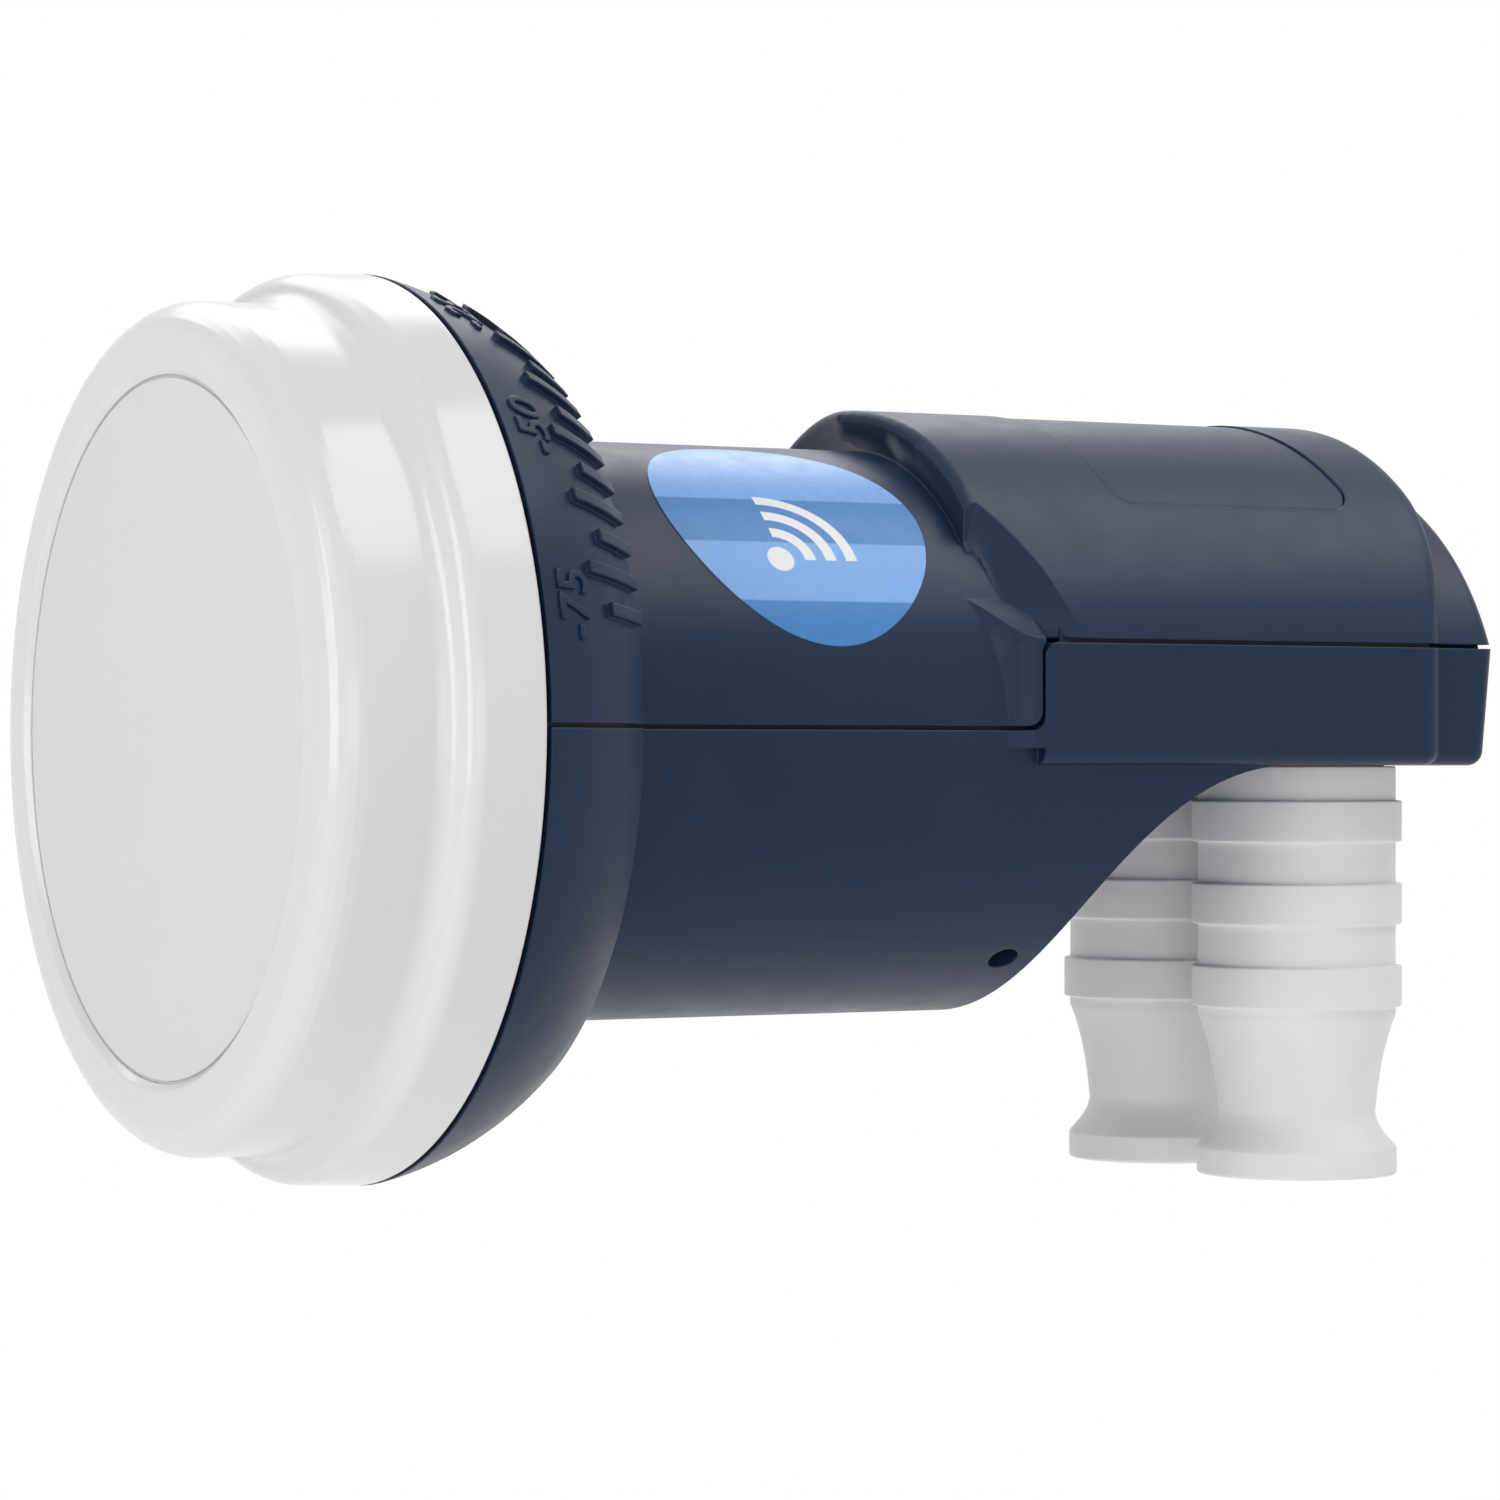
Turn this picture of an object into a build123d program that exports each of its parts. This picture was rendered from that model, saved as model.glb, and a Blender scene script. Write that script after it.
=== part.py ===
from build123d import *
import os
from math import asin, cos, radians, sin, sqrt

# A twin-output satellite LNB in millimetres. The feed axis is X: the horn looks towards -X.
# Z is up and the sockets point down. The origin is on the feed axis, in the clamp neck.

os.makedirs("parts", exist_ok=True)

# Gaps and fits
seam_gap = 0.3
press_play = 0.05
boot_play = 0.15
plate_play = 0.15

# Housing shell
shell_wall = 1.6
lip_width = 0.7
lip_height = 0.9
neck_r = 20.0
neck_corner_r = 1.0

# Bowl flange behind the cap
rim_x = -25.0
rim_r = 30.6
bowl_r = 19.4
bowl_setback = 3.85
flange_length = 8.8
flange_edge_round = 0.4

# Raised skew scale on the flange
tick_step = 5.0
tick_last = 75.0
tick_width = 0.85
tick_height = 0.45
tick_root = 0.3
tick_long = 5.4
tick_short = 3.7

# Hood, connector box and rear end
hood_front_x = 14.3
hood_front_rake = 0.41
hood_side_step = 1.0
hood_rise = 2.9
hood_crown_r = 31.0
hood_shoulder_r = 9.0
hood_front_round = 0.6
hood_rear_round = 1.8
hood_rear_bow = 1.7
box_setback = 3.3
box_flare = 6.0
box_flare_root = 2.4
box_flare_rise = 2.9
floor_z = -2.4
floor_round = 1.2
rear_x = 56.9
rear_length = 5.3
rear_side_step = 1.0
rear_drop = 3.3
rear_crown_spare = 1.5
rear_round = 1.1
rear_lean = 0.86
cavity_setback = 0.8

# Seam between the shells: level along the neck, then a step up along the box
box_seam_z = 6.0
seam_corner_r = 1.0

# Twisted facet that trims the hood's front corners: a ruled face between two side-view curves.
# Each curve's points are set back from the hood's front, or stand ahead of it, and rise from the seam.
facet_width = 5.0
facet_overhang = 1.0
facet_reach = 8.0
facet_inner_low_ahead = 2.2
facet_inner_mid_back = 0.8
facet_inner_mid_rise = 3.5
facet_inner_top_back = 0.1
facet_inner_top_rise = 7.0
facet_outer_low_back = 8.7
facet_outer_mid_back = 3.9
facet_outer_mid_rise = 5.4
facet_outer_top_ahead = 1.9
facet_outer_top_rise = 11.9

# Concave rear end of the lower neck, a quarter ellipse in side view, and its drain holes
sweep_half_length = 17.5
sweep_half_height = 21.4
sweep_setback = 3.5
drain_r = 1.1
drain_setback = 1.4
drain_angle = 37.6

# Inlaid plate in the crown
plate_front_margin = 10.7
plate_rear_margin = 6.1
plate_side_margin = 2.2
plate_corner_r = 1.6
plate_sink = 0.12
plate_thickness = 0.8

# Printed label on the neck, seen square on
label_angle = 45.0
label_thickness = 0.06
label_outline = [
    (-7.9, 3.2),
    (-6.3, -4.6),
    (-1.0, -9.0),
    (4.0, -9.5),
    (9.2, -6.2),
    (11.5, 0.0),
    (8.8, 6.9),
    (2.0, 10.3),
    (-5.2, 8.0),
]

# Front cap
cap_wall = 1.6
cap_border = 4.9
cap_disc_sink = 0.45
cap_edge_round = 2.4
cap_front_depth = 6.85
cap_step_length = 2.8
cap_step_height = 2.1
cap_band_length = 4.2
cap_band_draft = 0.2

# Horn casting
guide_room = 9.65
guide_wall = 1.6
guide_end_x = 10.0
end_wall = 2.0
horn_clearance = 1.4
ring_count = 4
ring_room = 2.45
ring_wall = 1.1
ring_rise = 1.6
ring_depth = 6.4
horn_wall = 1.6
disc_play = 0.7
disc_lap = 0.6
disc_thickness = 4.0
seal_section_r = 0.85

# Chassis, circuit board and shield
board_rise = 0.45
board_thickness = 0.8
chassis_thickness = 3.0
tongue_front_x = -8.0
tongue_gap = 1.1
board_gap = 0.6
board_side_gap = 5.0
tail_gap = 2.1
tail_side_gap = 6.0
shield_height = 3.6
shield_wall = 0.9
shield_margin = 0.4
shield_tongue_half_width = 7.2
screw_r = 0.95
screw_head_r = 1.8
screw_head_height = 1.1
screw_depth = 2.2
post_r = 2.0
screw_inset = 2.8
screw_wall = 0.9
amplifier_size = (1.8, 1.4, 0.9)
amplifier_step = 4.3
amplifier_y = 2.6
mixer_size = (4.0, 4.0, 0.9)
crystal_size = (2.5, 3.2, 0.9)
regulator_size = (3.5, 6.5, 1.8)
chip_y = 6.0

# Antenna probes in the waveguide
probe_r = 0.5
probe_reach = 3.2
probe_bead_r = 1.5
probe_solder = 0.4
probe_vertical_x = 4.5
probe_horizontal_x = -3.0
probe_standoff = 1.35
probe_bend_r = 1.2

# Coax sockets: three-eighths inch thread, 32 turns to the inch
thread_r = 9.525 / 2
thread_length = 7.6
collar_r = 5.0
socket_reach = 11.5
socket_chamfer = 0.5
nut_flats = 11.0
nut_height = 1.5
shank_r = 5.0
shank_cover = 1.8
boss_r = 6.4
boss_gap = 0.54
socket_bore_r = 3.1
insulator_recess = 0.7
contact_r = 0.7
gasket_height = 1.0
gasket_wall = 1.4
spigot_wall = 1.05
spigot_height = 3.6

# Weather boots, with lengths from the top down
boot_spacing = 1.7
boot_wall = 0.7
boot_rib_rise = 0.45
boot_rib_height = 3.0
boot_rib_pitch = 6.0
boot_rib_count = 3
boot_collar = 2.5
boot_chamber_length = 16.95
boot_throat_length = 5.0
boot_grip_length = 2.9
boot_flare_length = 2.8
boot_lip_length = 2.1
boot_cable_r = 3.6
boot_waist_wall = 2.16
boot_taper_hollow = 0.2
boot_mouth_r = 5.9
boot_flare_wall = 1.37

# Values that follow from the ones above
cap_step_rear_x = rim_x - cap_band_length
cap_step_front_x = cap_step_rear_x - cap_step_length
cap_front_x = cap_step_front_x - cap_front_depth
cap_band_r = rim_r - cap_band_draft
cap_side_r = cap_band_r - cap_step_height
cap_disc_r = cap_side_r - cap_border
far = rear_x - cap_front_x
hood_half_width = neck_r + hood_side_step
hood_crown_z = neck_r + hood_rise
hood_rear_x = rear_x - rear_length
rear_half_width = hood_half_width - rear_side_step
rear_crown_z = hood_crown_z - rear_drop
rear_crown_r = rear_half_width + rear_crown_spare
box_front_x = hood_front_x + box_setback
sweep_end_x = box_front_x + sweep_setback
plate_front_x = hood_front_x + plate_front_margin
plate_rear_x = hood_rear_x - plate_rear_margin
plate_half_width = hood_half_width - plate_side_margin
facet_inner_y = hood_half_width - facet_width
facet_inner = [
    (hood_front_x - facet_inner_low_ahead, box_seam_z),
    (hood_front_x + facet_inner_mid_back, box_seam_z + facet_inner_mid_rise),
    (hood_front_x + facet_inner_top_back, box_seam_z + facet_inner_top_rise),
]
facet_outer = [
    (hood_front_x + facet_outer_low_back, box_seam_z),
    (hood_front_x + facet_outer_mid_back, box_seam_z + facet_outer_mid_rise),
    (hood_front_x - facet_outer_top_ahead, box_seam_z + facet_outer_top_rise),
]
flange_rear_x = rim_x + flange_length
bowl_centre_x = rim_x - bowl_setback
bowl_centre_r = rim_r - sqrt(bowl_r**2 - bowl_setback**2)
sweep_centre_x = sweep_end_x + sweep_half_length
sweep_centre_z = floor_z - sweep_half_height
drain_x = sweep_end_x - drain_setback
cap_rear_x = rim_x - seam_gap
cap_inner_front_x = cap_front_x + cap_disc_sink + cap_wall
cap_inner_side_r = cap_side_r - cap_wall
cap_inner_rim_r = rim_r - cap_wall
cap_inner_step_x = cap_step_front_x + cap_wall
guide_r = neck_r - shell_wall - guide_room
ring_pitch = (cap_inner_side_r - ring_room - ring_wall - guide_r) / ring_count
throat_x = cap_inner_front_x + horn_clearance + ring_count * ring_rise
disc_r = cap_inner_rim_r - disc_play
disc_rear_x = rim_x + disc_lap
disc_front_x = disc_rear_x - disc_thickness
board_z = guide_r + guide_wall + board_rise
board_top_z = board_z + board_thickness
board_half_width = hood_half_width - shell_wall - board_side_gap
tongue_half_width = sqrt((neck_r - shell_wall - tongue_gap) ** 2 - board_top_z**2)
tail_half_width = rear_half_width - shell_wall - tail_side_gap
board_front_x = box_front_x + cavity_setback + shell_wall + board_gap
board_rear_x = hood_rear_x - shell_wall - board_gap
tail_rear_x = rear_x - shell_wall - tail_gap
inner_floor_z = floor_z + shell_wall
nut_low_z = inner_floor_z + gasket_height
nut_top_z = nut_low_z + nut_height
socket_tip_z = floor_z - socket_reach
collar_low_z = socket_tip_z + thread_length
shank_top_z = board_z - shank_cover
spigot_r = collar_r + seam_gap + spigot_wall
boot_bore_r = spigot_r + boot_play
boot_body_r = boot_bore_r + boot_wall
boot_rib_r = boot_body_r + boot_rib_rise
boot_waist_r = boot_cable_r + boot_waist_wall
boot_flare_r = boot_mouth_r + boot_flare_wall
boot_top_z = floor_z - press_play
boot_chamber_z = boot_top_z - boot_chamber_length
boot_throat_z = boot_chamber_z - boot_throat_length
boot_waist_z = boot_throat_z - boot_grip_length
boot_flare_z = boot_waist_z - boot_flare_length
boot_tip_z = boot_flare_z - boot_lip_length
rib_low_z = boot_top_z - boot_collar - (boot_rib_count - 1) * boot_rib_pitch - boot_rib_height
contact_low_z = socket_tip_z + 2 * insulator_recess
socket_x = rear_x - shell_wall - rear_lean - boss_gap - boss_r
socket_y = boot_rib_r + boot_spacing / 2
socket_spots = [(socket_x, socket_y), (socket_x, -socket_y)]
shield_top_z = board_top_z + shield_height
screw_rear_x = socket_x - shank_r - screw_wall
shield_rear_x = screw_rear_x + screw_inset
shield_rib_x = (board_front_x + shield_rear_x) / 2
screw_front_y = shield_tongue_half_width - screw_inset
screw_side_y = board_half_width - screw_inset
screw_spots = [
    (x, side * y)
    for x, y in (
        (tongue_front_x + screw_inset, screw_front_y),
        (board_front_x + screw_inset, screw_side_y),
        (screw_rear_x, screw_side_y),
    )
    for side in (-1, 1)
]
probe_side_y = guide_r + guide_wall + probe_standoff
UP = (Align.CENTER, Align.CENTER, Align.MIN)
DOWN = (Align.CENTER, Align.CENTER, Align.MAX)


def finish(part, name):
    """Labels a finished piece and writes it to its own file."""
    part.label = name
    export_step(part, f"parts/{name}.step")


def at_height(spots, z):
    """Plan points lifted to one height."""
    return [(x, y, z) for x, y in spots]


def loaf_section(plane, half_width, crown_z, crown_r, shoulder_r, low_z):
    """Cross section with a flat floor, upright walls, round shoulders and an arched crown."""
    eaves_z = crown_z - crown_r + sqrt(crown_r**2 - half_width**2)
    with BuildSketch(plane) as section:
        with BuildLine():
            Polyline(
                (-half_width, eaves_z),
                (-half_width, low_z),
                (half_width, low_z),
                (half_width, eaves_z),
            )
            ThreePointArc((half_width, eaves_z), (0, crown_z), (-half_width, eaves_z))
        make_face()
        if shoulder_r > 0:
            fillet(section.vertices().group_by(Axis.Y)[-1], shoulder_r)
    return section.sketch


def hood_section(plane, inset, low_z):
    """The hood's cross section, moved inwards by inset."""
    half_width = hood_half_width - inset
    crown_z = hood_crown_z - inset
    return loaf_section(plane, half_width, crown_z, hood_crown_r - inset, hood_shoulder_r - inset, low_z)


def bowl_radius(x, inset):
    """Radius about the feed axis of the bowl's arc, moved inwards by inset, at a place along the axis."""
    return bowl_centre_r + sqrt((bowl_r - inset) ** 2 - (x - bowl_centre_x) ** 2)


def neck_form(inset):
    """Bowl flange and neck turned about the feed axis, with the concave rear end cut below the floor."""
    neck_at = neck_r - inset
    edge_x = flange_rear_x - inset
    middle_x = (rim_x + edge_x) / 2
    front = (rim_x, bowl_radius(rim_x, inset))
    edge = (edge_x, bowl_radius(edge_x, inset))
    root = (edge_x, neck_at)
    length = sweep_half_length + inset
    height = sweep_half_height + inset
    top = (sweep_centre_x, sweep_centre_z + height)
    side = (sweep_centre_x - length, sweep_centre_z)
    with BuildPart() as form:
        with BuildSketch(Plane.XZ) as profile:
            with BuildLine():
                ThreePointArc(front, (middle_x, bowl_radius(middle_x, inset)), edge)
                Polyline(edge, root, (sweep_centre_x, neck_at), (sweep_centre_x, 0), (rim_x, 0), front)
            make_face()
            fillet(profile.vertices().sort_by_distance(root)[0], neck_corner_r + inset)
            if inset == 0:
                fillet(profile.vertices().sort_by_distance(edge)[0], flange_edge_round)
        revolve(axis=Axis.X)
        with BuildSketch(Plane.XZ):
            with BuildLine():
                centre = (sweep_centre_x, sweep_centre_z)
                EllipticalCenterArc(centre, length, height, start_angle=90, arc_size=90)
                Polyline(top, (far, top[1]), (far, -far), (side[0], -far), side)
            make_face()
        extrude(amount=far, both=True, mode=Mode.SUBTRACT)
    return form.part


def facet_outline(plane, curve):
    """Side view of what the facet removes, ahead of one of its two curves."""
    low, middle, top = curve
    front_x = hood_front_x - facet_reach
    with BuildSketch(plane) as outline:
        with BuildLine():
            ThreePointArc(low, middle, top)
            Polyline(top, (front_x, top[1]), (front_x, low[1]), low)
        make_face()
    return outline.sketch


def facet_form():
    """The corner that is trimmed off each side of the hood's front."""
    inner = facet_outline(Plane.XZ.offset(facet_inner_y), facet_inner)
    outer = facet_outline(Plane.XZ.offset(hood_half_width + facet_overhang), facet_outer)
    with BuildPart() as form:
        loft([inner, outer])
        mirror(about=Plane.XZ)
    return form.part


def front_rake():
    """What lies ahead of the hood's front: a cone about the feed axis, further forward at larger radii."""
    low_r = neck_r - shell_wall
    high_r = hood_crown_z + hood_half_width
    low_x = hood_front_x + hood_front_rake * (neck_r - low_r)
    high_x = hood_front_x + hood_front_rake * (neck_r - high_r)
    with BuildPart() as form:
        with BuildSketch(Plane.XZ):
            with BuildLine():
                Polyline((low_x, low_r), (high_x, high_r), (rim_x, high_r), (rim_x, low_r), close=True)
            make_face()
        revolve(axis=Axis.X)
    return form.part


def hood_plan():
    """Plan of the hood, whose rear end is bowed."""
    with BuildSketch(Plane.XY.offset(floor_z)) as plan:
        with BuildLine():
            corner = (hood_rear_x, hood_half_width)
            other = (hood_rear_x, -hood_half_width)
            ThreePointArc(corner, (hood_rear_x + hood_rear_bow, 0), other)
            Polyline(other, (0, -hood_half_width), (0, hood_half_width), corner)
        make_face()
    return plan.sketch


def is_hood_outline(edge):
    """Whether an edge lies above the seam and outside the neck."""
    middle = edge.center()
    return middle.Z > box_seam_z + seam_gap and middle.Y**2 + middle.Z**2 > neck_r**2


def hood_form():
    """Hood and connector box in one block, with its rounded edges and trimmed front corners."""
    trim = facet_form()
    rake = front_rake()
    section = hood_section(Plane.YZ, 0, floor_z)
    with BuildPart() as form:
        extrude(hood_plan(), amount=hood_crown_z - floor_z)
        extrude(section, amount=far, mode=Mode.INTERSECT)
        rear = form.faces().sort_by(Axis.X)[-1].edges().sort_by(Axis.Z)
        fillet(rear[1:], hood_rear_round)
        add(rake, mode=Mode.SUBTRACT)
        with Locations((box_front_x, 0, box_seam_z)):
            Box(far, far * 2, far, align=(Align.MAX, Align.CENTER, Align.MAX), mode=Mode.SUBTRACT)
        floor_edges = form.faces().sort_by(Axis.Z)[0].edges().filter_by(Axis.X)
        fillet(floor_edges, floor_round)
        front_edges = form.faces().filter_by(GeomType.CONE)[0].edges()
        fillet(front_edges.filter_by(is_hood_outline), hood_front_round)
        add(trim, mode=Mode.SUBTRACT)
    return form.part


def flare_form():
    """Ramp on both sides of the neck that leads up to the connector box in an S-curve, with a sloped top."""
    start = (box_front_x - box_flare, neck_r - box_flare_root)
    end = (box_front_x, hood_half_width)
    low_z = floor_z + floor_round
    side_z = box_seam_z + seam_gap
    top_z = side_z + box_flare_rise
    with BuildPart() as form:
        with BuildSketch(Plane.XY.offset(low_z)):
            with BuildLine():
                Spline(start, end, tangents=[(1, 0), (1, 0)])
                Polyline(end, (end[0], 0), (start[0], 0), start)
            make_face()
        extrude(amount=top_z - low_z)
        with BuildSketch(Plane.YZ):
            with BuildLine():
                corners = [(0, low_z), (end[1], low_z), (end[1], side_z), (start[1], top_z), (0, top_z)]
                Polyline(*corners, close=True)
            make_face()
        extrude(amount=far, mode=Mode.INTERSECT)
        mirror(about=Plane.XZ)
    return form.part


def rear_form(inset):
    """The narrower rear end that comes out behind the hood. Below the seam its face leans inwards."""
    start_x = hood_rear_x - hood_rear_round - shell_wall
    end_x = rear_x - inset
    low_z = floor_z + inset
    low_x = end_x - rear_lean * (box_seam_z - low_z) / (box_seam_z - floor_z)
    half_width = rear_half_width - inset
    crown_z = rear_crown_z - inset
    section = loaf_section(Plane.YZ.offset(start_x), half_width, crown_z, rear_crown_r - inset, 0, low_z)
    with BuildPart() as crown:
        extrude(section, amount=end_x - start_x)
        split(bisect_by=Plane.XY.offset(box_seam_z), keep=Keep.TOP)
        if inset == 0:
            end_edges = crown.faces().sort_by(Axis.X)[-1].edges().sort_by(Axis.Z)
            fillet(end_edges[1:], rear_round)
    with BuildPart() as form:
        with BuildSketch(Plane.XZ):
            with BuildLine():
                corners = [(start_x, low_z), (low_x, low_z), (end_x, box_seam_z), (start_x, box_seam_z)]
                Polyline(*corners, close=True)
            make_face()
        extrude(amount=half_width, both=True)
        if inset == 0:
            end_edges = form.faces().sort_by(Axis.X)[-1].edges().sort_by(Axis.Z)
            floor_edges = form.faces().sort_by(Axis.Z)[0].edges().filter_by(Axis.X)
            fillet(end_edges[:-1] + floor_edges, rear_round)
        add(crown.part)
    return form.part


def hood_cavity(inset):
    """The hood's and box's inside, kept clear of the trimmed corners."""
    start_x = box_front_x + cavity_setback + inset
    section = hood_section(Plane.YZ.offset(start_x), inset, floor_z + inset)
    with BuildPart() as form:
        extrude(section, amount=hood_rear_x - inset - start_x)
    return form.part


def cavity(inset):
    """The housing's inside as one closed form, its surface lying inset below the outer one."""
    with BuildPart() as form:
        add(neck_form(inset))
        add(hood_cavity(inset))
        add(rear_form(inset))
    return form.part


def seam_side(lift):
    """Everything below the stepped seam, when the seam is lifted by that much."""
    step_x = box_front_x - lift
    with BuildPart() as form:
        with BuildSketch(Plane.XZ) as outline:
            with BuildLine():
                Polyline(
                    (-far, lift),
                    (step_x, lift),
                    (step_x, box_seam_z + lift),
                    (far * 2, box_seam_z + lift),
                    (far * 2, -far),
                    (-far, -far),
                    close=True,
                )
            make_face()
            corners = outline.vertices().sort_by_distance((step_x, (box_seam_z + lift) / 2))[0:2]
            fillet(corners, seam_corner_r)
        extrude(amount=far, both=True)
    return form.part


def scale_band(length):
    """Ring just above the bowl, from its rear edge forwards by a length along the bowl's arc."""
    edge_r = bowl_radius(flange_rear_x, 0)
    rear_angle = asin((edge_r - bowl_centre_r) / bowl_r) + flange_edge_round / bowl_r
    angles = [rear_angle, rear_angle + length / bowl_r / 2, rear_angle + length / bowl_r]

    def arc_points(radius):
        return [(bowl_centre_x + radius * cos(a), bowl_centre_r + radius * sin(a)) for a in angles]

    low = arc_points(bowl_r - tick_root)
    high = arc_points(bowl_r + tick_height)
    with BuildPart() as band:
        with BuildSketch(Plane.XZ):
            with BuildLine():
                ThreePointArc(*low)
                ThreePointArc(*high)
                Line(low[0], high[0])
                Line(low[2], high[2])
            make_face()
        revolve(axis=Axis.X)
    return band.part


def scale_ticks(length, count):
    """Raised ticks of one length, at every second step about the top of the flange."""
    half_range = tick_step * (count - 1)
    with BuildPart() as ticks:
        with BuildSketch(Plane.YZ.offset(rim_x)):
            with PolarLocations(rim_r, count, 90 - half_range, 2 * half_range, endpoint=True):
                Rectangle(rim_r, tick_width)
        extrude(amount=neck_r)
        add(scale_band(length), mode=Mode.INTERSECT)
    return ticks.part


def plate_prism(margin):
    """Plan outline of the inlaid plate, carried up through the crown."""
    with BuildPart() as prism:
        with BuildSketch(Plane.XY.offset(box_seam_z)):
            with Locations(((plate_front_x + plate_rear_x) / 2, 0)):
                RectangleRounded(
                    plate_rear_x - plate_front_x + 2 * margin,
                    2 * (plate_half_width + margin),
                    plate_corner_r + margin,
                )
        extrude(amount=hood_crown_z)
    return prism.part


def crown_core(inset):
    """Solid under the crown surface along the plate."""
    start_x = plate_front_x - plate_corner_r
    section = hood_section(Plane.YZ.offset(start_x), inset, box_seam_z - shell_wall)
    with BuildPart() as core:
        extrude(section, amount=plate_rear_x + plate_corner_r - start_x)
    return core.part


# Housing as one shell, before it is parted
with BuildPart() as shell:
    add(neck_form(0))
    add(flare_form())
    add(hood_form())
    add(rear_form(0))
    add(cavity(shell_wall), mode=Mode.SUBTRACT)

# Upper shell: its edge is lifted by the seam gap and cut back for the lower shell's lip
long_count = 2 * int(tick_last // (2 * tick_step)) + 1
short_count = long_count + 1
with BuildPart() as lip_room:
    add(cavity(shell_wall - lip_width - press_play))
    add(seam_side(seam_gap + lip_height + press_play), mode=Mode.INTERSECT)

with BuildPart() as plate_pocket:
    add(plate_prism(plate_play))
    add(crown_core(plate_thickness + plate_sink + press_play), mode=Mode.SUBTRACT)

with BuildPart() as upper_housing:
    add(shell.part)
    add(seam_side(seam_gap), mode=Mode.SUBTRACT)
    add(lip_room.part, mode=Mode.SUBTRACT)
    add(plate_pocket.part, mode=Mode.SUBTRACT)
    add(scale_ticks(tick_long, long_count))
    add(scale_ticks(tick_short, short_count))
finish(upper_housing.part, "upper_housing")

# Lower shell: half flange, half neck, connector floor with spigots, and the lip inside the seam
with BuildPart() as seam_lip:
    add(cavity(shell_wall - lip_width))
    add(seam_side(seam_gap + lip_height), mode=Mode.INTERSECT)
    add(cavity(shell_wall), mode=Mode.SUBTRACT)

with BuildPart() as lower_housing:
    add(shell.part)
    add(seam_side(0), mode=Mode.INTERSECT)
    add(seam_lip.part)
    with Locations(*at_height(socket_spots, floor_z)):
        Cylinder(spigot_r, spigot_height, align=DOWN)
    with Locations(*at_height(socket_spots, floor_z)):
        Cylinder(collar_r + seam_gap, far, mode=Mode.SUBTRACT)
    for angle in (-drain_angle, 0, drain_angle):
        outwards = (0, sin(radians(angle)), -cos(radians(angle)))
        with Locations(Plane(origin=(drain_x, neck_r * outwards[1], neck_r * outwards[2]), z_dir=outwards)):
            Cylinder(drain_r, 3 * shell_wall, mode=Mode.SUBTRACT)
finish(lower_housing.part, "lower_housing")

# Inlaid plate in the crown
with BuildPart() as crown_plate:
    add(plate_prism(0))
    add(crown_core(plate_sink), mode=Mode.INTERSECT)
    add(crown_core(plate_sink + plate_thickness), mode=Mode.SUBTRACT)
finish(crown_plate.part, "crown_plate")

# Printed label, wrapped on the neck
label_tilt = radians(label_angle)
label_plane = Plane(origin=(0, 0, 0), x_dir=(1, 0, 0), z_dir=(0, -sin(label_tilt), cos(label_tilt)))
with BuildPart() as foil:
    Cylinder(neck_r + label_thickness, far, rotation=(0, 90, 0))
    Cylinder(neck_r, far, rotation=(0, 90, 0), mode=Mode.SUBTRACT)

with BuildPart() as side_label:
    with BuildSketch(label_plane):
        with BuildLine():
            Spline(*label_outline, periodic=True)
        make_face()
    extrude(amount=neck_r + 2 * label_thickness)
    add(foil.part, mode=Mode.INTERSECT)
finish(side_label.part, "side_label")

# Front cap: sunk disc, rounded edge, double-curved step and a slightly tapered rim band
step_mid = ((cap_step_front_x + cap_step_rear_x) / 2, (cap_side_r + cap_band_r) / 2)
with BuildPart() as radome_cap:
    with BuildSketch(Plane.XZ) as profile:
        with BuildLine():
            disc_edge = (cap_front_x + cap_disc_sink, cap_disc_r)
            edge_start = (cap_front_x, cap_side_r - cap_edge_round)
            edge_end = (cap_front_x + cap_edge_round, cap_side_r)
            Polyline(
                (cap_inner_front_x, 0),
                (disc_edge[0], 0),
                disc_edge,
                (cap_front_x, cap_disc_r + cap_disc_sink),
                edge_start,
            )
            TangentArc(edge_start, edge_end, tangent=(0, 1))
            Line(edge_end, (cap_step_front_x, cap_side_r))
            concave = TangentArc((cap_step_front_x, cap_side_r), step_mid, tangent=(1, 0))
            TangentArc(step_mid, (cap_step_rear_x, cap_band_r), tangent=concave % 1)
            Polyline(
                (cap_step_rear_x, cap_band_r),
                (cap_rear_x, rim_r),
                (cap_rear_x, cap_inner_rim_r),
                (cap_inner_step_x, cap_inner_rim_r),
                (cap_inner_step_x, cap_inner_side_r),
                (cap_inner_front_x, cap_inner_side_r),
                (cap_inner_front_x, 0),
            )
        make_face()
    revolve(axis=Axis.X)
finish(radome_cap.part, "radome_cap")

# Horn casting: corrugated horn, waveguide, chassis plate and socket bosses
seal_r = cap_inner_rim_r - press_play - seal_section_r
seal_x = (disc_front_x + disc_rear_x) / 2
seal_seat_r = seal_r - seal_section_r - press_play
seal_room = seal_section_r + press_play


def ring_inner(i):
    """Inner radius of the horn's ring number i, counted from the waveguide."""
    return guide_r + i * ring_pitch


def ring_front(i):
    """Front edge of ring number i: each ring stands further forward than the one inside it."""
    return throat_x - i * ring_rise


def turned_block(front_x, rear_x, inner_r, outer_r):
    """Rectangle in the turning profile, between two places along the axis and two radii."""
    with Locations(((front_x + rear_x) / 2, (inner_r + outer_r) / 2)):
        Rectangle(rear_x - front_x, outer_r - inner_r)


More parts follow.
